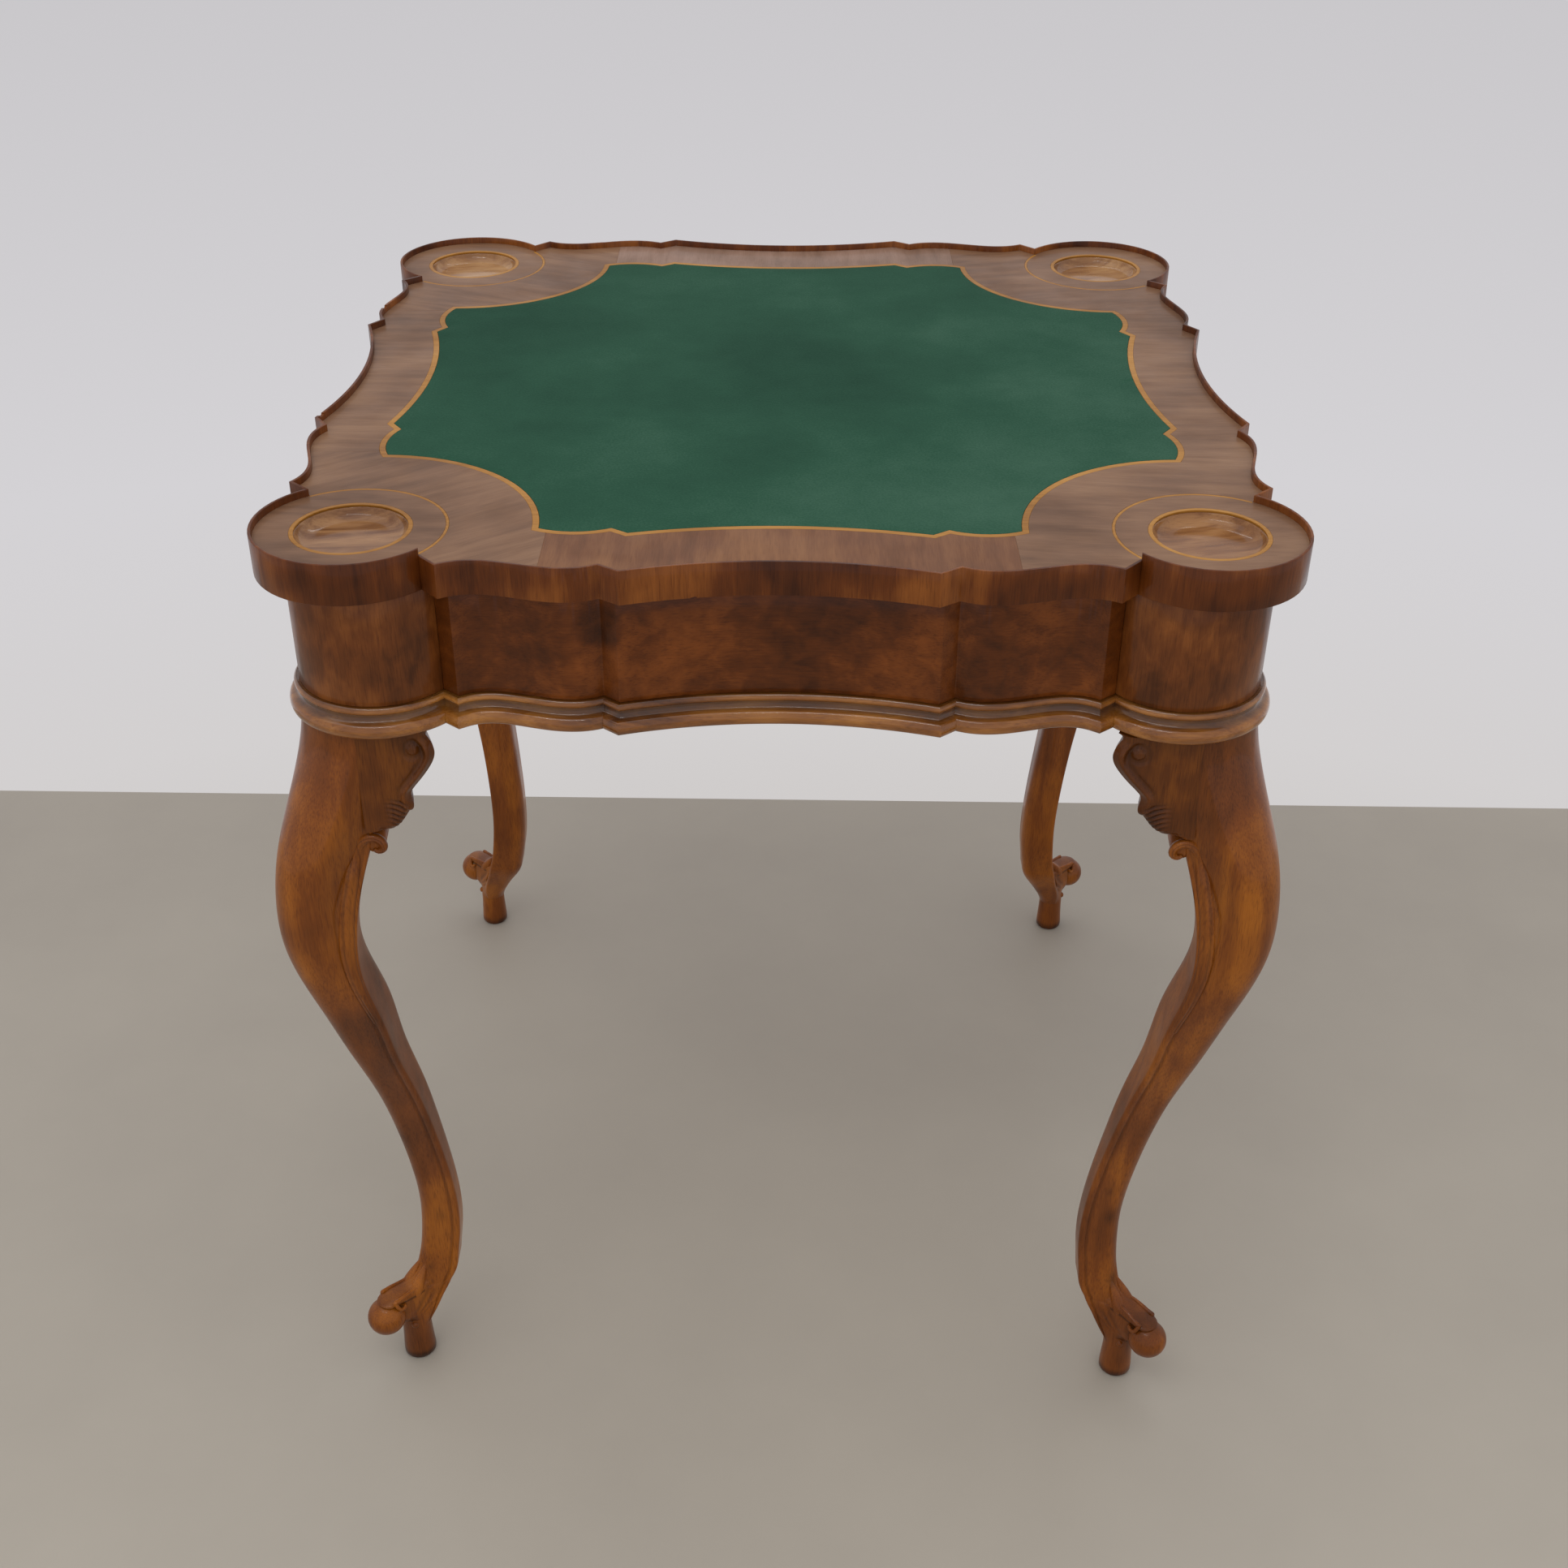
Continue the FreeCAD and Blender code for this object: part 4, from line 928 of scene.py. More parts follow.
drop, dark = relief(net_points)
front_skin = np.column_stack([net_points[:, 0], BRACKET_FRONT - drop, net_points[:, 1]])
root_centre = np.array((BRACKET_FACE + 9.0, BRACKET_FOOT + BRACKET_HEIGHT))
under_cut = root_centre + (net_points - root_centre) * UNDER_CUT_SHARE
middle_cut = root_centre + (net_points - root_centre) * MIDDLE_CUT_SHARE
skins = [front_skin]
for cut, y in ((middle_cut, BRACKET_FRONT - MIDDLE_CUT_DEPTH), (under_cut, BRACKET_BACK + 0.1)):
    skins.append(np.column_stack([cut[:, 0], np.full(len(cut), y), cut[:, 1]]))
bracket_points = np.concatenate(skins)
skin_size = len(net_points)
bracket_faces = net_faces + [tuple(index + 2 * skin_size for index in reversed(face)) for face in net_faces]
directed = {(a, b) for face in net_faces for a, b in zip(face, face[1:] + face[:1])}
border = [(a, b) for a, b in directed if (b, a) not in directed]
used = sorted({index for pair in border for index in pair})
for layer in (0, 1):
    for a, b in border:
        low, high = layer * skin_size, (layer + 1) * skin_size
        bracket_faces.append((b + low, a + low, a + high, b + high))
# The middle skin only lends its border, so the points inside it go
in_use = np.zeros(len(bracket_points), bool)
in_use[:skin_size] = True
in_use[2 * skin_size :] = True
in_use[np.array(used) + skin_size] = True
new_index = np.cumsum(in_use) - 1
bracket_points = bracket_points[in_use]
bracket_faces = [tuple(int(new_index[index]) for index in face) for face in bracket_faces]
# The front left bracket was cut a little smaller than the others, and the front right one larger
reach_of = {"front_left": 0.90, "front_right": 1.06}
brackets = []
for quarters, corner in enumerate(CORNERS):
    for along_x in (True, False):
        points = bracket_points.copy()
        points[:, 0] = BRACKET_FACE - (BRACKET_FACE - points[:, 0]) * reach_of.get(corner, 1.0)
        points = points if along_x else points[:, [1, 0, 2]]
        on_side = along_x == (quarters % 2 == 0)
        name = f"bracket_{corner}_{corner.split('_')[0 if on_side else 1]}"
        placed = turned(points, quarters)
        bracket = make_piece(name + "_carved", placed, bracket_faces, "frame", [name])
        keep_painted_shade_and_knots(bracket, dark)
        brackets.append(bracket)
print("brackets", len(brackets))

# %% [markdown]
# ## Edging with small losses
# The board's edge is banded with short pieces of walnut whose grain runs up and down. Three sides
# and the ears stand up as a thin lip, and it has lost a length at the back and some chips on the
# left. The CAD bands are right in shape, so they are copied, and the losses are cut out of them.


# %% Cut the losses and soften the edging
def copy_of_node(node, name, body):
    """A free copy of a CAD piece, with its flat faces made whole again."""
    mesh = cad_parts[node].data.copy()
    mesh.name = name
    work = bmesh.new()
    work.from_mesh(mesh)
    bmesh.ops.remove_doubles(work, verts=work.verts, dist=1e-6)
    bmesh.ops.dissolve_limit(work, angle_limit=radians(0.5), verts=work.verts, edges=work.edges)
    work.to_mesh(mesh)
    work.free()
    piece = bpy.data.objects.new(name, mesh)
    bpy.context.scene.collection.objects.link(piece)
    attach(piece, body)
    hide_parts(node)
    return piece


def chip(piece, places, seed):
    """Cuts ragged lumps out of a piece. Each place is its centre and its half sizes."""
    random = np.random.default_rng(seed)
    for centre, reach in places:
        work = bmesh.new()
        bmesh.ops.create_icosphere(work, subdivisions=2, radius=1.0)
        for vertex in work.verts:
            spread = np.sign(vertex.co) * np.abs(vertex.co) ** 0.6
            ragged = spread * np.array(reach) * random.uniform(0.85, 1.1, 3)
            vertex.co = Vector((np.array(centre) + ragged) * MM)
        mesh = bpy.data.meshes.new("chip")
        work.to_mesh(mesh)
        work.free()
        cutter = bpy.data.objects.new("chip", mesh)
        bpy.context.scene.collection.objects.link(cutter)
        cut = piece.modifiers.new("chip", "BOOLEAN")
        cut.operation = "DIFFERENCE"
        cut.object = cutter
        apply_modifiers(piece)
        bpy.data.objects.remove(cutter)


def apply_modifiers(piece):
    """Makes a piece's mesh what its modifiers show."""
    shape = bpy.data.meshes.new_from_object(piece.evaluated_get(bpy.context.evaluated_depsgraph_get()))
    piece.modifiers.clear()
    piece.data = shape


def soften(piece, width, segments=2, angle=40):
    """Rounds the arrises that polishing and hands have rounded."""
    bevel = piece.modifiers.new("worn arris", "BEVEL")
    bevel.width = width * MM
    bevel.segments = segments
    bevel.limit_method = "ANGLE"
    bevel.angle_limit = radians(angle)
    bevel.use_clamp_overlap = True


edge_losses = {
    "edge_back": [((-169.5, 345.0, 777.6), (8.6, 9.0, 4.4))],
    "edge_left": [((-337.0, 148.0, 778.4), (6.0, 4.0, 2.6)), ((-340.0, -96.0, 778.2), (6.0, 3.0, 2.0))],
    "edge_front": [((-57.0, -331.0, 749.2), (5.0, 3.0, 1.6))],
    "edge_right": [],
    "edge_ears": [],
}
edges = []
for seed, (node, losses) in enumerate(edge_losses.items()):
    banding = copy_of_node(node, node + "_banding", "top")
    chip(banding, losses, seed)
    soften(banding, 0.5)
    apply_modifiers(banding)
    banding.data.shade_smooth()
    banding.data.set_sharp_from_angle(angle=radians(38))
    edges.append(banding)
    print(node, "faces", len(banding.data.polygons))

# %% [markdown]
# ## Dishes
# Each ear has a dish turned on a lathe, for counters. Its wall is a cove that meets the floor in a
# soft curve, and the floor is not quite flat. A lathe is a profile spun round an upright axis.

# %% Turn the dishes
DISH_TOP = 771.4
DISH_BLOCK_RADIUS = 44.0
DISH_RADIUS = 37.5
DISH_BOTTOM = 759.5
dish_profile = [(DISH_BOTTOM, 0.5), (DISH_BOTTOM, DISH_BLOCK_RADIUS), (DISH_TOP, DISH_BLOCK_RADIUS)]
dish_profile += [(DISH_TOP, DISH_RADIUS + 0.3), (DISH_TOP - 0.3, DISH_RADIUS)]
# Depth below the rim, and radius there
COVE = [(0.0, 37.4), (1.6, 36.9), (3.4, 36.0), (5.2, 34.4), (6.6, 32.2), (7.4, 29.4), (7.75, 26.0)]
COVE += [(7.9, 20.0), (7.9, 10.0), (7.85, 0.5)]
cove_knots = np.concatenate([[0], np.cumsum(np.linalg.norm(np.diff(COVE, axis=0), axis=1))])
cove_line = smooth_run(cove_knots, COVE, np.linspace(0.6, cove_knots[-1], 34))[0]
dish_profile += [(DISH_TOP - depth, radius) for depth, radius in cove_line]
dishes = []
dish_points, dish_faces = spun(dish_profile, (EAR_CENTRE, EAR_CENTRE, 0), UPRIGHT, sides=96)
for quarters, corner in enumerate(CORNERS):
    name = "dish_" + corner
    placed = turned(dish_points, quarters)
    dishes.append(make_piece(name + "_turned", placed, dish_faces, "top", [name], sharp=50))
print("faces on a dish", len(dishes[0].data.polygons))

# %% [markdown]
# ## Baize
# The lining is one piece of napped wool cloth, cut to the wavy outline and glued down inside the
# stringing. It is made flat from its outline, cut into small cells so that it can follow the
# board's slight unevenness, given a thickness, and rounded where the shears cut it.

# %% Lay the baize
BAIZE_MIDDLE = 275.0
BAIZE_RELIEF = 12.5
BAIZE_SIDE_SHARES = [(0.355, 1.0), (0.394, 0.4), (0.477, 0.88), (0.564, 0.48)]
BAIZE_INSET = 0.25
BAIZE_TOP = 773.0
BAIZE_UNDERSIDE = 771.45


def baize_quarter():
    """The front side of the baize from left to right, and the hollow round the ear at its right."""
    step, inner, lobe, corner = [
        np.array((along * EAR_CENTRE, -(BAIZE_MIDDLE + rise * BAIZE_RELIEF)))
        for along, rise in BAIZE_SIDE_SHARES
    ]
    sweep_radius = np.linalg.norm(corner - (EAR_CENTRE, -EAR_CENTRE))
    nearest = EAR_CENTRE - sweep_radius / sqrt(2)
    run = [arc(*mirrored([inner, lobe, corner])), line(*mirrored([step, inner]))]
    run += [arc((-step[0], step[1]), (0, -BAIZE_MIDDLE), step), line(step, inner), arc(inner, lobe, corner)]
    return run + [arc(corner, (nearest, -nearest), (-corner[1], -corner[0]))]


baize_outline = [
    (turned(points, quarters), turned(normals, quarters))
    for quarters in range(4)
    for points, normals in baize_quarter()
]
cloth_edge = offset_run(baize_outline, 0, len(baize_outline), -BAIZE_INSET)[:-1]

cloth = bmesh.new()
rim = [cloth.verts.new((x * MM, y * MM, BAIZE_TOP * MM)) for x, y in cloth_edge]
cloth.faces.new(rim)
CELL = 12
CELLS_END = 276
for axis in ((1, 0, 0), (0, 1, 0)):
    for line_at in np.arange(-CELLS_END, CELLS_END + 1, CELL) * MM:
        everything = cloth.verts[:] + cloth.edges[:] + cloth.faces[:]
        bmesh.ops.bisect_plane(cloth, geom=everything, plane_co=Vector(axis) * line_at, plane_no=axis)
raised = bmesh.ops.extrude_face_region(cloth, geom=cloth.faces[:])
for vertex in cloth.verts:
    wave = noise.noise(Vector((vertex.co.x * 14, vertex.co.y * 14, 3.0)))
    vertex.co.z += wave * 0.12 * MM
for vertex in [item for item in raised["geom"] if isinstance(item, bmesh.types.BMVert)]:
    vertex.co.z = BAIZE_UNDERSIDE * MM
cloth_mesh = bpy.data.meshes.new("baize_lining")
bmesh.ops.recalc_face_normals(cloth, faces=cloth.faces)
cloth.to_mesh(cloth_mesh)
cloth.free()
baize = bpy.data.objects.new("baize_lining", cloth_mesh)
bpy.context.scene.collection.objects.link(baize)
soften(baize, 0.7, segments=3, angle=60)
apply_modifiers(baize)
baize.data.shade_smooth()
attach(baize, "top")
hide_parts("baize")
print("baize faces", len(baize.data.polygons))

# %% [markdown]
# ## Pieces that keep their CAD shape
# Veneers, stringings, rails, blocks, battens and screws already have the right shape. They get a
# modifier that rounds their arrises very slightly, because a knife-sharp edge catches no light
# and two veneers that meet without any rounding show no joint.

# %% Ease the arrises of the CAD pieces
replaced_starts = ("moulding_", "leg_", "bracket_", "edge_", "dish_front", "dish_back")
for node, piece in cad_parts.items():
    if node in ("baize", "corner_mouldings") or node.startswith(replaced_starts):
        continue
    weld = piece.modifiers.new("one skin", "WELD")
    weld.merge_threshold = 1e-6
    flatten = piece.modifiers.new("flat faces whole", "DECIMATE")
    flatten.decimate_type = "DISSOLVE"
    flatten.angle_limit = radians(0.5)
    thin = node.startswith(("border_", "corner_veneer", "ear_", "baize_", "dish_rings"))
    soften(piece, 0.18 if thin else 0.6, segments=1 if thin else 2, angle=40)

# %% [markdown]
# ## Polished walnut
# All the wood that shows is walnut under a thin spirit polish, and each part shows another face
# of it. The figure of a board is soft streaks: a noise pattern, drawn out along the grain and
# squeezed across it. With the streaks go a slow change of tone, as from heart to sapwood, and
# fine dark pores. Old polish has made the wood amber, so the tones lie close together and only
# their sum runs from dark to light. The polish is a clear coat whose gloss dulls with handling.


# %% One recipe for every cut of walnut
def tone_ramp(tree, value, stops):
    """Colours, or plain numbers, at places from 0 to 1, with an even passage between them."""
    ramp = add(tree, "ValToRGB", {"Fac": value})
    band = ramp.color_ramp
    while len(band.elements) < len(stops):
        band.elements.new(0.5)
    for element, (place, code) in zip(band.elements, stops):
        element.position = place
        element.color = colour(code) if isinstance(code, str) else (code, code, code, 1.0)
    return ramp


def swing(tree, pattern, reach, spread=0.16):
    """A noise pattern as a change of tone: as much lighter as darker, at most the reach."""
    ends = {"From Min": 0.5 - spread, "From Max": 0.5 + spread, "To Min": -reach, "To Max": reach}
    return add(tree, "MapRange", {"Value": pattern, **ends})


def walnut(
    name, tones, grain, streak=(70.0, 4.0), figure=0.22, cloud=(90.0, 0.25), pore=0.25, rough=(0.3, 0.45),
    gloss=0.12, shine=0.12, heights=None, painted_shade_and_knots=False, stain=None
):
    """Walnut with its grain along a direction, its tones dark, middle and light.

    Streaks are so long and wide, and change the tone by the figure. Clouds have a size and a
    change of tone. Heights change the tone up the leg, and a stain darkens it round a place.
    """
    material, tree, shader = new_material(name)
    place = add(tree, "TexCoord", {})
    millimetres = add(tree, "VectorMath", {0: place.outputs["Object"], "Scale": 1 / MM}, operation="SCALE")
    turn = Vector(grain).rotation_difference(Vector((1, 0, 0))).to_euler()
    board = add(tree, "Mapping", {"Vector": millimetres.outputs[0], "Rotation": turn})
    along, across = streak
    drawn = add(tree, "Mapping", {"Vector": board.outputs[0], "Scale": (1 / along, 1 / across, 1 / across)})
    wavy = {"Scale": 1.0, "Detail": 3.0, "Distortion": 0.5}
    streaks = add(tree, "TexNoise", {"Vector": drawn.outputs[0], **wavy})
    slow = add(tree, "TexNoise", {"Vector": millimetres.outputs[0], "Scale": 1 / cloud[0], "Detail": 2.5})
    fine = add(tree, "Mapping", {"Vector": board.outputs[0], "Scale": (1 / 14.0, 1 / 0.9, 1 / 0.9)})
    fibres = add(tree, "TexNoise", {"Vector": fine.outputs[0], "Scale": 1.0, "Detail": 2.0})
    tone = add(tree, "Math", {0: swing(tree, streaks.outputs[0], figure), 1: 0.5}, operation="ADD")
    tone = add(tree, "Math", {0: tone.outputs[0], 1: swing(tree, slow.outputs[0], cloud[1])}, operation="ADD")
    tone = add(tree, "Math", {0: tone.outputs[0], 1: swing(tree, fibres.outputs[0], 0.06)}, operation="ADD")
    if heights:
        level = add(tree, "SeparateXYZ", {0: millimetres.outputs[0]})
        level = add(tree, "MapRange", {"Value": level.outputs["Z"], "From Max": LEG_HEIGHT})
        shift = tone_ramp(tree, level.outputs[0], [(at / LEG_HEIGHT, 0.5 + change) for at, change in heights])
        tone = add(tree, "Math", {0: tone.outputs[0], 1: shift.outputs[0]}, operation="ADD")
        tone = add(tree, "Math", {0: tone.outputs[0], 1: 0.5}, operation="SUBTRACT")
    if stain:
        centre, reach = stain
        away = add(tree, "VectorMath", {0: millimetres.outputs[0], 1: centre}, operation="DISTANCE")
        ends = {"From Min": reach * 0.7, "From Max": reach * 1.2, "To Min": -0.4, "To Max": 0.0}
        drop = {"Value": away.outputs["Value"], **ends}
        drop = add(tree, "MapRange", drop, interpolation_type="SMOOTHSTEP")
        tone = add(tree, "Math", {0: tone.outputs[0], 1: drop.outputs[0]}, operation="ADD")
    wood = tone_ramp(tree, tone.outputs[0], list(zip((0.0, 0.5, 1.0), tones)))
    # Pores are drawn near 1 mm wide, three times their real width, or they wouldn't show
    ends = {"From Min": 0.30, "From Max": 0.42, "To Min": pore, "To Max": 0.0}
    pores = add(tree, "MapRange", {"Value": fibres.outputs[0], **ends})
    wood = add(tree, "MixRGB", {"Fac": pores.outputs[0], "Color1": wood, "Color2": colour(tones[0])})
    # Painted shade from the meshes' attribute darkens hollows, grooves and creases toward near black; on the
    # front legs it holds their real knots too
    if painted_shade_and_knots:
        painted_darkening = add(tree, "Attribute", {}, attribute_name="painted_shade_and_knots")
        dark = add(tree, "Math", {0: painted_darkening.outputs["Fac"], 1: 0.8}, operation="MULTIPLY", use_clamp=True)
        wood = add(tree, "MixRGB", {"Fac": dark.outputs[0], "Color1": wood, "Color2": colour("#1f1007")})
    wear = add(tree, "TexNoise", {"Vector": millimetres.outputs[0], "Scale": 1 / 35.0, "Detail": 4.0})
    ends = {"From Min": 0.35, "From Max": 0.65, "To Min": rough[0], "To Max": rough[1]}
    dullness = add(tree, "MapRange", {"Value": wear.outputs[0], **ends})
    ripple = add(tree, "Bump", {"Height": fibres.outputs[0], "Strength": 0.12, "Distance": 0.0003})
    tree.links.new(wood.outputs[0], shader.inputs["Base Color"])
    tree.links.new(dullness.outputs[0], shader.inputs["Roughness"])
    tree.links.new(ripple.outputs[0], shader.inputs["Normal"])
    shader.inputs["IOR"].default_value = 1.5
    shader.inputs["Specular IOR Level"].default_value = shine
    shader.inputs["Coat Weight"].default_value = gloss
    shader.inputs["Coat Roughness"].default_value = 0.10
    return material


def finish_with(material, *pieces):
    """Gives pieces one material in place of any they had."""
    for piece in pieces:
        piece.data.materials.clear()
        piece.data.materials.append(material)


# %% [markdown]
# The legs and brackets are carved from solid walnut with upright grain. They are painted darker right
# under the moulding and at the floor, as painted shadow, and lighter on the knee, as painted light.
# Painted shade darkens the grooves, the hollows and the underside of the leaf: the meshes carry it as an
# attribute, with the knots of the front legs.

# %% Finish the legs, brackets and mouldings
LEFT_TO_RIGHT = (1, 0, 0)
FRONT_TO_BACK = (0, 1, 0)
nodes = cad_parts
# Height on the leg, and how much lighter or darker the wood is painted there: painted shadow at the floor and
# under the moulding, painted light on the knee
leg_painted_light_by_height = [
    (0, -0.45), (5, -0.30), (9, 0.0), (50, 0.06), (160, 0.04), (300, -0.05), (420, 0.0), (500, 0.10),
    (560, 0.08), (600, 0.0), (630, -0.12),
]
leg_walnut = walnut(
    "carved walnut, spirit polished", ("#391a05", "#783f11", "#b0681b"), UPRIGHT, streak=(160.0, 16.0),
    figure=0.12, cloud=(85.0, 0.17), gloss=0.35, heights=leg_painted_light_by_height, painted_shade_and_knots=True
)
finish_with(leg_walnut, *legs)
# The brackets' walnut is a darker, shaded copy of the legs': painted shade, with more painted shade in the
# hollows
bracket_walnut = walnut(
    "carved walnut, with painted shade", ("#321604", "#62330d", "#935518"), UPRIGHT,
    streak=(60.0, 13.0), figure=0.10, cloud=(40.0, 0.18), gloss=0.3, painted_shade_and_knots=True
)
finish_with(bracket_walnut, *brackets)
moulding_walnut = walnut(
    "planed walnut moulding, polished", ("#50290c", "#875019", "#b27632"), LEFT_TO_RIGHT,
    streak=(60.0, 9.0), gloss=0.9, rough=(0.14, 0.24), shine=0.3, painted_shade_and_knots=True
)
finish_with(moulding_walnut, *mouldings)

# %% [markdown]
# The frame is faced with burr walnut: no grain at all, only small soft clouds of red-brown. The
# board's edge is banded with short upright pieces, in broad zones of middle and dark brown.

# %% Finish the frame and the board's edge
burr_walnut = walnut(
    "burr walnut veneer, polished", ("#391a06", "#5e2e0b", "#824517"), LEFT_TO_RIGHT, streak=(14.0, 11.0),
    figure=0.16, cloud=(55.0, 0.24), gloss=0.3, stain=((-119.0, -322.0, 720.0), 17.0)
)
finish_with(burr_walnut, *[nodes["burr_veneer_" + side] for side in SIDES])
drum_walnut = walnut(
    "burr walnut veneer of the drums, polished", ("#40200b", "#6c3a16", "#925624"), UPRIGHT,
    streak=(22.0, 11.0), figure=0.16, cloud=(55.0, 0.24), gloss=0.3
)
finish_with(drum_walnut, nodes["drum_veneers"])
upright_banding = walnut(
    "walnut banding, grain upright", ("#3b1905", "#62300c", "#8c501d"), UPRIGHT, streak=(90.0, 9.0),
    figure=0.14, cloud=(60.0, 0.34), gloss=0.3
)
finish_with(upright_banding, *edges)

# %% [markdown]
# The wooden border of the playing side is crossbanded: its grain runs square to each side's edge.
# Sun and cloths have faded it to a pinkish grey-brown, with only a satin gloss left.

# %% Finish the border, the ears and the stringing
border_tones = ("#5c412f", "#7e5d45", "#987558")
# Lit and shaded copies of one veneer: the back's paler, greyer tones are a painted reflection of the pale
# room, and the front's darker, redder tones leave that sheen out
front_tones = ("#543622", "#744b30", "#906440")
back_tones_painted_sheen = ("#654c3c", "#876a58", "#a28372")
front_border = walnut(
    "crossbanded walnut veneer, grain front to back", front_tones, FRONT_TO_BACK, streak=(80.0, 9.0),
    figure=0.13, pore=0.12
)
finish_with(front_border, nodes["border_front"])
side_border = walnut(
    "crossbanded walnut veneer, grain left to right", border_tones, LEFT_TO_RIGHT, streak=(80.0, 9.0),
    figure=0.13, pore=0.12
)
finish_with(side_border, nodes["border_left"], nodes["border_right"])
back_border = walnut(
    "crossbanded walnut veneer, with painted sheen", back_tones_painted_sheen, FRONT_TO_BACK, streak=(80.0, 9.0),
    figure=0.12, pore=0.1
)
finish_with(back_border, nodes["border_back"])
# Each corner's veneer was laid at a slant of its own
slants = {"back_right": 0.2, "back_left": -0.4, "front_left": 0.7, "front_right": -0.1}
for corner, slant in slants.items():
    name = "walnut veneer of the " + corner.replace("_", " ") + " corner"
    veneer = walnut(name, border_tones, (1, slant, 0), streak=(80.0, 11.0), figure=0.14, pore=0.12)
    finish_with(veneer, nodes["corner_veneer_" + corner])
ear_walnut = walnut(
    "walnut veneer of the ears", border_tones, LEFT_TO_RIGHT, streak=(70.0, 12.0), figure=0.14, pore=0.12
)
finish_with(ear_walnut, nodes["ear_veneers"])
boxwood = walnut(
    "stained boxwood stringing", ("#855720", "#a8742f", "#c18d44"), LEFT_TO_RIGHT, streak=(50.0, 3.0),
    figure=0.12, pore=0.05
)
finish_with(boxwood, nodes["baize_stringing"], nodes["ear_stringing"], nodes["dish_rings"])

# %% [markdown]
# The dishes were turned and burnished on the lathe, so they shine more than the veneer round
# them. Inside the frame the carcase is planed softwood that was never polished.

# %% Finish the dishes and the carcase
dish_grain = (1, 0.2, 0)
dish_walnut = walnut(
    "turned walnut, burnished", ("#6b4223", "#9b7047", "#bd9466"), dish_grain, streak=(50.0, 9.0),
    figure=0.26, rough=(0.22, 0.35), gloss=0.7
)
finish_with(dish_walnut, *dishes)
ruddy_dish = walnut(
    "turned walnut, burnished, from a redder board", ("#5c3519", "#85572e", "#a8794a"), dish_grain,
    streak=(50.0, 9.0), figure=0.26, rough=(0.22, 0.35), gloss=0.7
)
finish_with(ruddy_dish, dishes[CORNERS.index("front_right")])
carcase_wood = walnut(
    "planed softwood, bare", ("#8a6a44", "#a98860", "#c4a67c"), LEFT_TO_RIGHT, streak=(200.0, 5.0),
    gloss=0.0, rough=(0.6, 0.8)
)
bare_starts = (
    "top_core", "well_floor", "ledger_strips", "batten_left", "batten_right", "rail_", "corner_block_"
)
finish_with(carcase_wood, *[piece for name, piece in nodes.items() if name.startswith(bare_starts)])

# %% [markdown]
# Baize is woollen cloth with its nap brushed flat. Wool scatters light softly and has no gloss at
# all, so its roughness is full and its specular level almost nothing. It has faded toward the
# front and the right, and cards and hands have rubbed clouds of paler green into it.

# %% Weave the baize
baize_wool, tree, shader = new_material("green baize, napped wool")
place = add(tree, "TexCoord", {})
millimetres = add(tree, "VectorMath", {0: place.outputs["Object"], "Scale": 1 / MM}, operation="SCALE")
soft_clouds = {"Scale": 1 / 150.0, "Detail": 6.0, "Roughness": 0.62}
cloudy = add(tree, "TexNoise", {"Vector": millimetres.outputs[0], **soft_clouds})
nap = add(tree, "TexNoise", {"Vector": millimetres.outputs[0], "Scale": 1 / 1.6, "Detail": 3.0})
ways = add(tree, "SeparateXYZ", {0: millimetres.outputs[0]})
across_cloth = {"From Min": -290.0, "From Max": 290.0}
fade_right = {"Value": ways.outputs["X"], "To Min": -0.10, "To Max": 0.16}
fade_right = add(tree, "MapRange", {**across_cloth, **fade_right})
fade_front = {"Value": ways.outputs["Y"], "To Min": 0.14, "To Max": -0.10}
fade_front = add(tree, "MapRange", {**across_cloth, **fade_front})
# A darker patch near the middle, where the nap still stands
PATCH_CENTRE = (22.0, -50.0, BAIZE_TOP)
from_patch = add(tree, "VectorMath", {0: millimetres.outputs[0], 1: PATCH_CENTRE}, operation="DISTANCE")
patch = {"Value": from_patch.outputs["Value"], "From Max": 190.0, "To Min": 0.12, "To Max": 0.44}
patch = add(tree, "MapRange", patch, interpolation_type="SMOOTHSTEP")
worn = add(tree, "Math", {0: swing(tree, cloudy.outputs[0], 0.22), 1: patch.outputs[0]}, operation="ADD")
worn = add(tree, "Math", {0: worn.outputs[0], 1: fade_right.outputs[0]}, operation="ADD")
worn = add(tree, "Math", {0: worn.outputs[0], 1: fade_front.outputs[0]}, operation="ADD")
worn = add(tree, "Math", {0: worn.outputs[0], 1: swing(tree, nap.outputs[0], 0.10)}, operation="ADD")
wool = tone_ramp(tree, worn.outputs[0], [(0.0, "#1b4030"), (0.5, "#28503d"), (1.0, "#3f6350")])
fuzz = add(tree, "Bump", {"Height": nap.outputs[0], "Strength": 0.5, "Distance": 0.0004})
tree.links.new(wool.outputs[0], shader.inputs["Base Color"])
tree.links.new(fuzz.outputs[0], shader.inputs["Normal"])
shader.inputs["Roughness"].default_value = 1.0
shader.inputs["Specular IOR Level"].default_value = 0.08
shader.inputs["Sheen Weight"].default_value = 0.03
finish_with(baize_wool, baize)

# %% [markdown]
# The battens' screws are iron, blued by heat against rust. That leaves a thin dark skin on bare
# metal, so it is a metal with a dark colour, and it shines in spots and is dull between them.

# %% Blue the screws
screw_iron, tree, shader = new_material("blued iron screws")
shader.inputs["Base Color"].default_value = colour("#4a4642")
shader.inputs["Metallic"].default_value = 1.0
spots = add(tree, "TexNoise", {"Scale": 900.0, "Detail": 4.0})
dull = add(tree, "MapRange", {"Value": spots.outputs[0], "To Min": 0.35, "To Max": 0.7})
tree.links.new(dull.outputs[0], shader.inputs["Roughness"])
finish_with(screw_iron, nodes["batten_screws"])

# %% [markdown]
# ## The room
# The table stands on a plain pale floor that ends behind it. Above that line the room is only a
# pale colour, seen by the camera and by reflections but giving no light of its own. The light
# is soft: a wide panel overhead and an even sky, at the level where a colour renders as written.

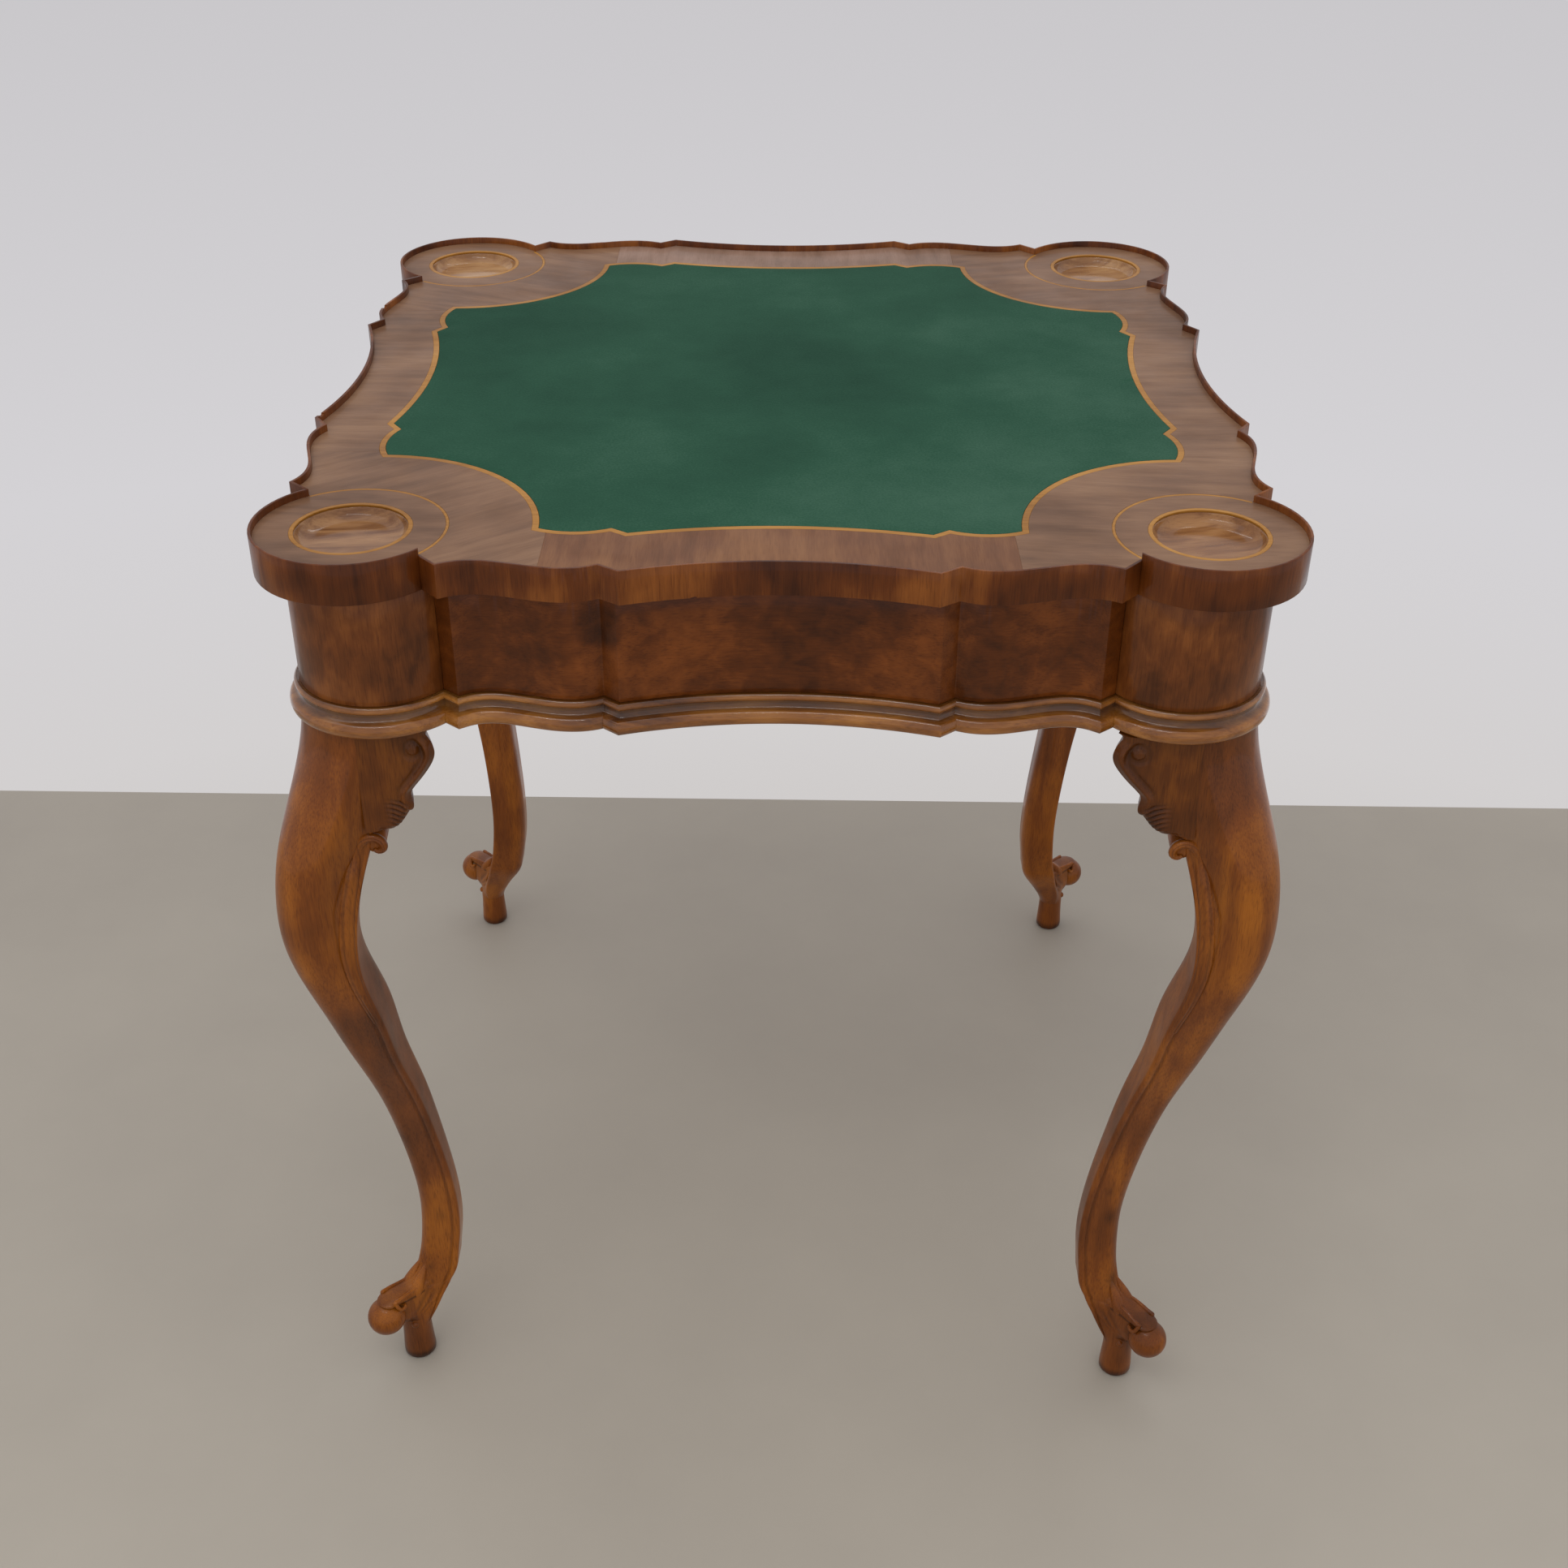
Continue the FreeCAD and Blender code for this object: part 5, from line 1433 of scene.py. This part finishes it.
# %% Floor, backdrop and lights
floor_mesh = bpy.data.meshes.new("floor")
floor_corners = [(-3.0, -3.2, 0), (3.0, -3.2, 0), (3.0, 0.551, 0), (-3.0, 0.603, 0)]
floor_mesh.from_pydata(floor_corners, [], [(0, 1, 2, 3)])
floor = bpy.data.objects.new("floor", floor_mesh)
bpy.context.scene.collection.objects.link(floor)
floor_paint, tree, shader = new_material("grey studio floor")
place = add(tree, "TexCoord", {})
mottled = {"Scale": 2.4, "Detail": 7.0, "Roughness": 0.62}
blotches = add(tree, "TexNoise", {"Vector": place.outputs["Object"], **mottled})
mottle = {"Value": blotches.outputs[0], "From Min": 0.3, "From Max": 0.7, "To Max": 0.3}
mottle = add(tree, "MapRange", mottle)
# Painted light: the floor is painted paler toward the front, and darker toward the back, under and behind the
# table
depth = add(tree, "SeparateXYZ", {0: place.outputs["Object"]})
painted_light_nearer = {"Value": depth.outputs["Y"], "From Min": 0.45, "From Max": -0.95, "To Max": 0.85}
painted_light_nearer = add(tree, "MapRange", painted_light_nearer)
lightness = add(tree, "Math", {0: mottle.outputs[0], 1: painted_light_nearer.outputs[0]}, operation="ADD")
greys = {"Color1": colour("#9f988d"), "Color2": colour("#b9b2a4")}
shade = add(tree, "MixRGB", {"Fac": lightness.outputs[0], **greys})
tree.links.new(shade.outputs[0], shader.inputs["Base Color"])
shader.inputs["Roughness"].default_value = 0.55
finish_with(floor_paint, floor)

world = bpy.data.worlds.new("pale room")
bpy.context.scene.world = world
world.use_nodes = True
tree = world.node_tree
tree.nodes.clear()
ray = add(tree, "LightPath", {})
seen = {0: ray.outputs["Is Camera Ray"], 1: ray.outputs["Is Glossy Ray"]}
seen = add(tree, "Math", seen, operation="MAXIMUM")
seen = add(tree, "Math", {0: seen, 1: ray.outputs["Is Transmission Ray"]}, operation="MAXIMUM")
heading = add(tree, "TexCoord", {})
height = add(tree, "SeparateXYZ", {0: heading.outputs["Generated"]})
climb = add(tree, "MapRange", {"Value": height.outputs["Z"], "From Min": -0.62, "From Max": -0.15})
wall_tones = [(0.0, "#c9c5c2"), (0.25, "#d3d0d0"), (0.5, "#d4d2d5"), (1.0, "#c9c7ca")]
wall = tone_ramp(tree, climb.outputs[0], wall_tones)
shown = add(tree, "Background", {"Color": wall.outputs[0], "Strength": 1.0})
sky = add(tree, "Background", {"Color": colour("#f4f2f4"), "Strength": 0.9})
either = add(tree, "MixShader", {0: seen.outputs[0], 1: sky.outputs[0], 2: shown.outputs[0]})
add(tree, "OutputWorld", {"Surface": either.outputs[0]})


def lamp(name, place, aim, size, watts):
    """A flat lamp at a place, turned to shine at a point."""
    light = bpy.data.lights.new(name, "AREA")
    light.shape = "RECTANGLE"
    light.size, light.size_y = size
    light.energy = watts
    fixture = bpy.data.objects.new(name, light)
    fixture.location = place
    fixture.rotation_euler = (Vector(aim) - Vector(place)).to_track_quat("-Z", "Y").to_euler()
    bpy.context.scene.collection.objects.link(fixture)


lamp("ceiling panel", (-0.7, -0.6, 3.0), (0, 0, 0.4), (2.6, 2.0), 8)
lamp("near tube", (-0.5, -1.3, 2.6), (0, 0, 0.5), (1.5, 0.03), 4)
lamp("far tube", (0.3, 1.4, 2.5), (0, 0, 0.6), (1.5, 0.06), 2)
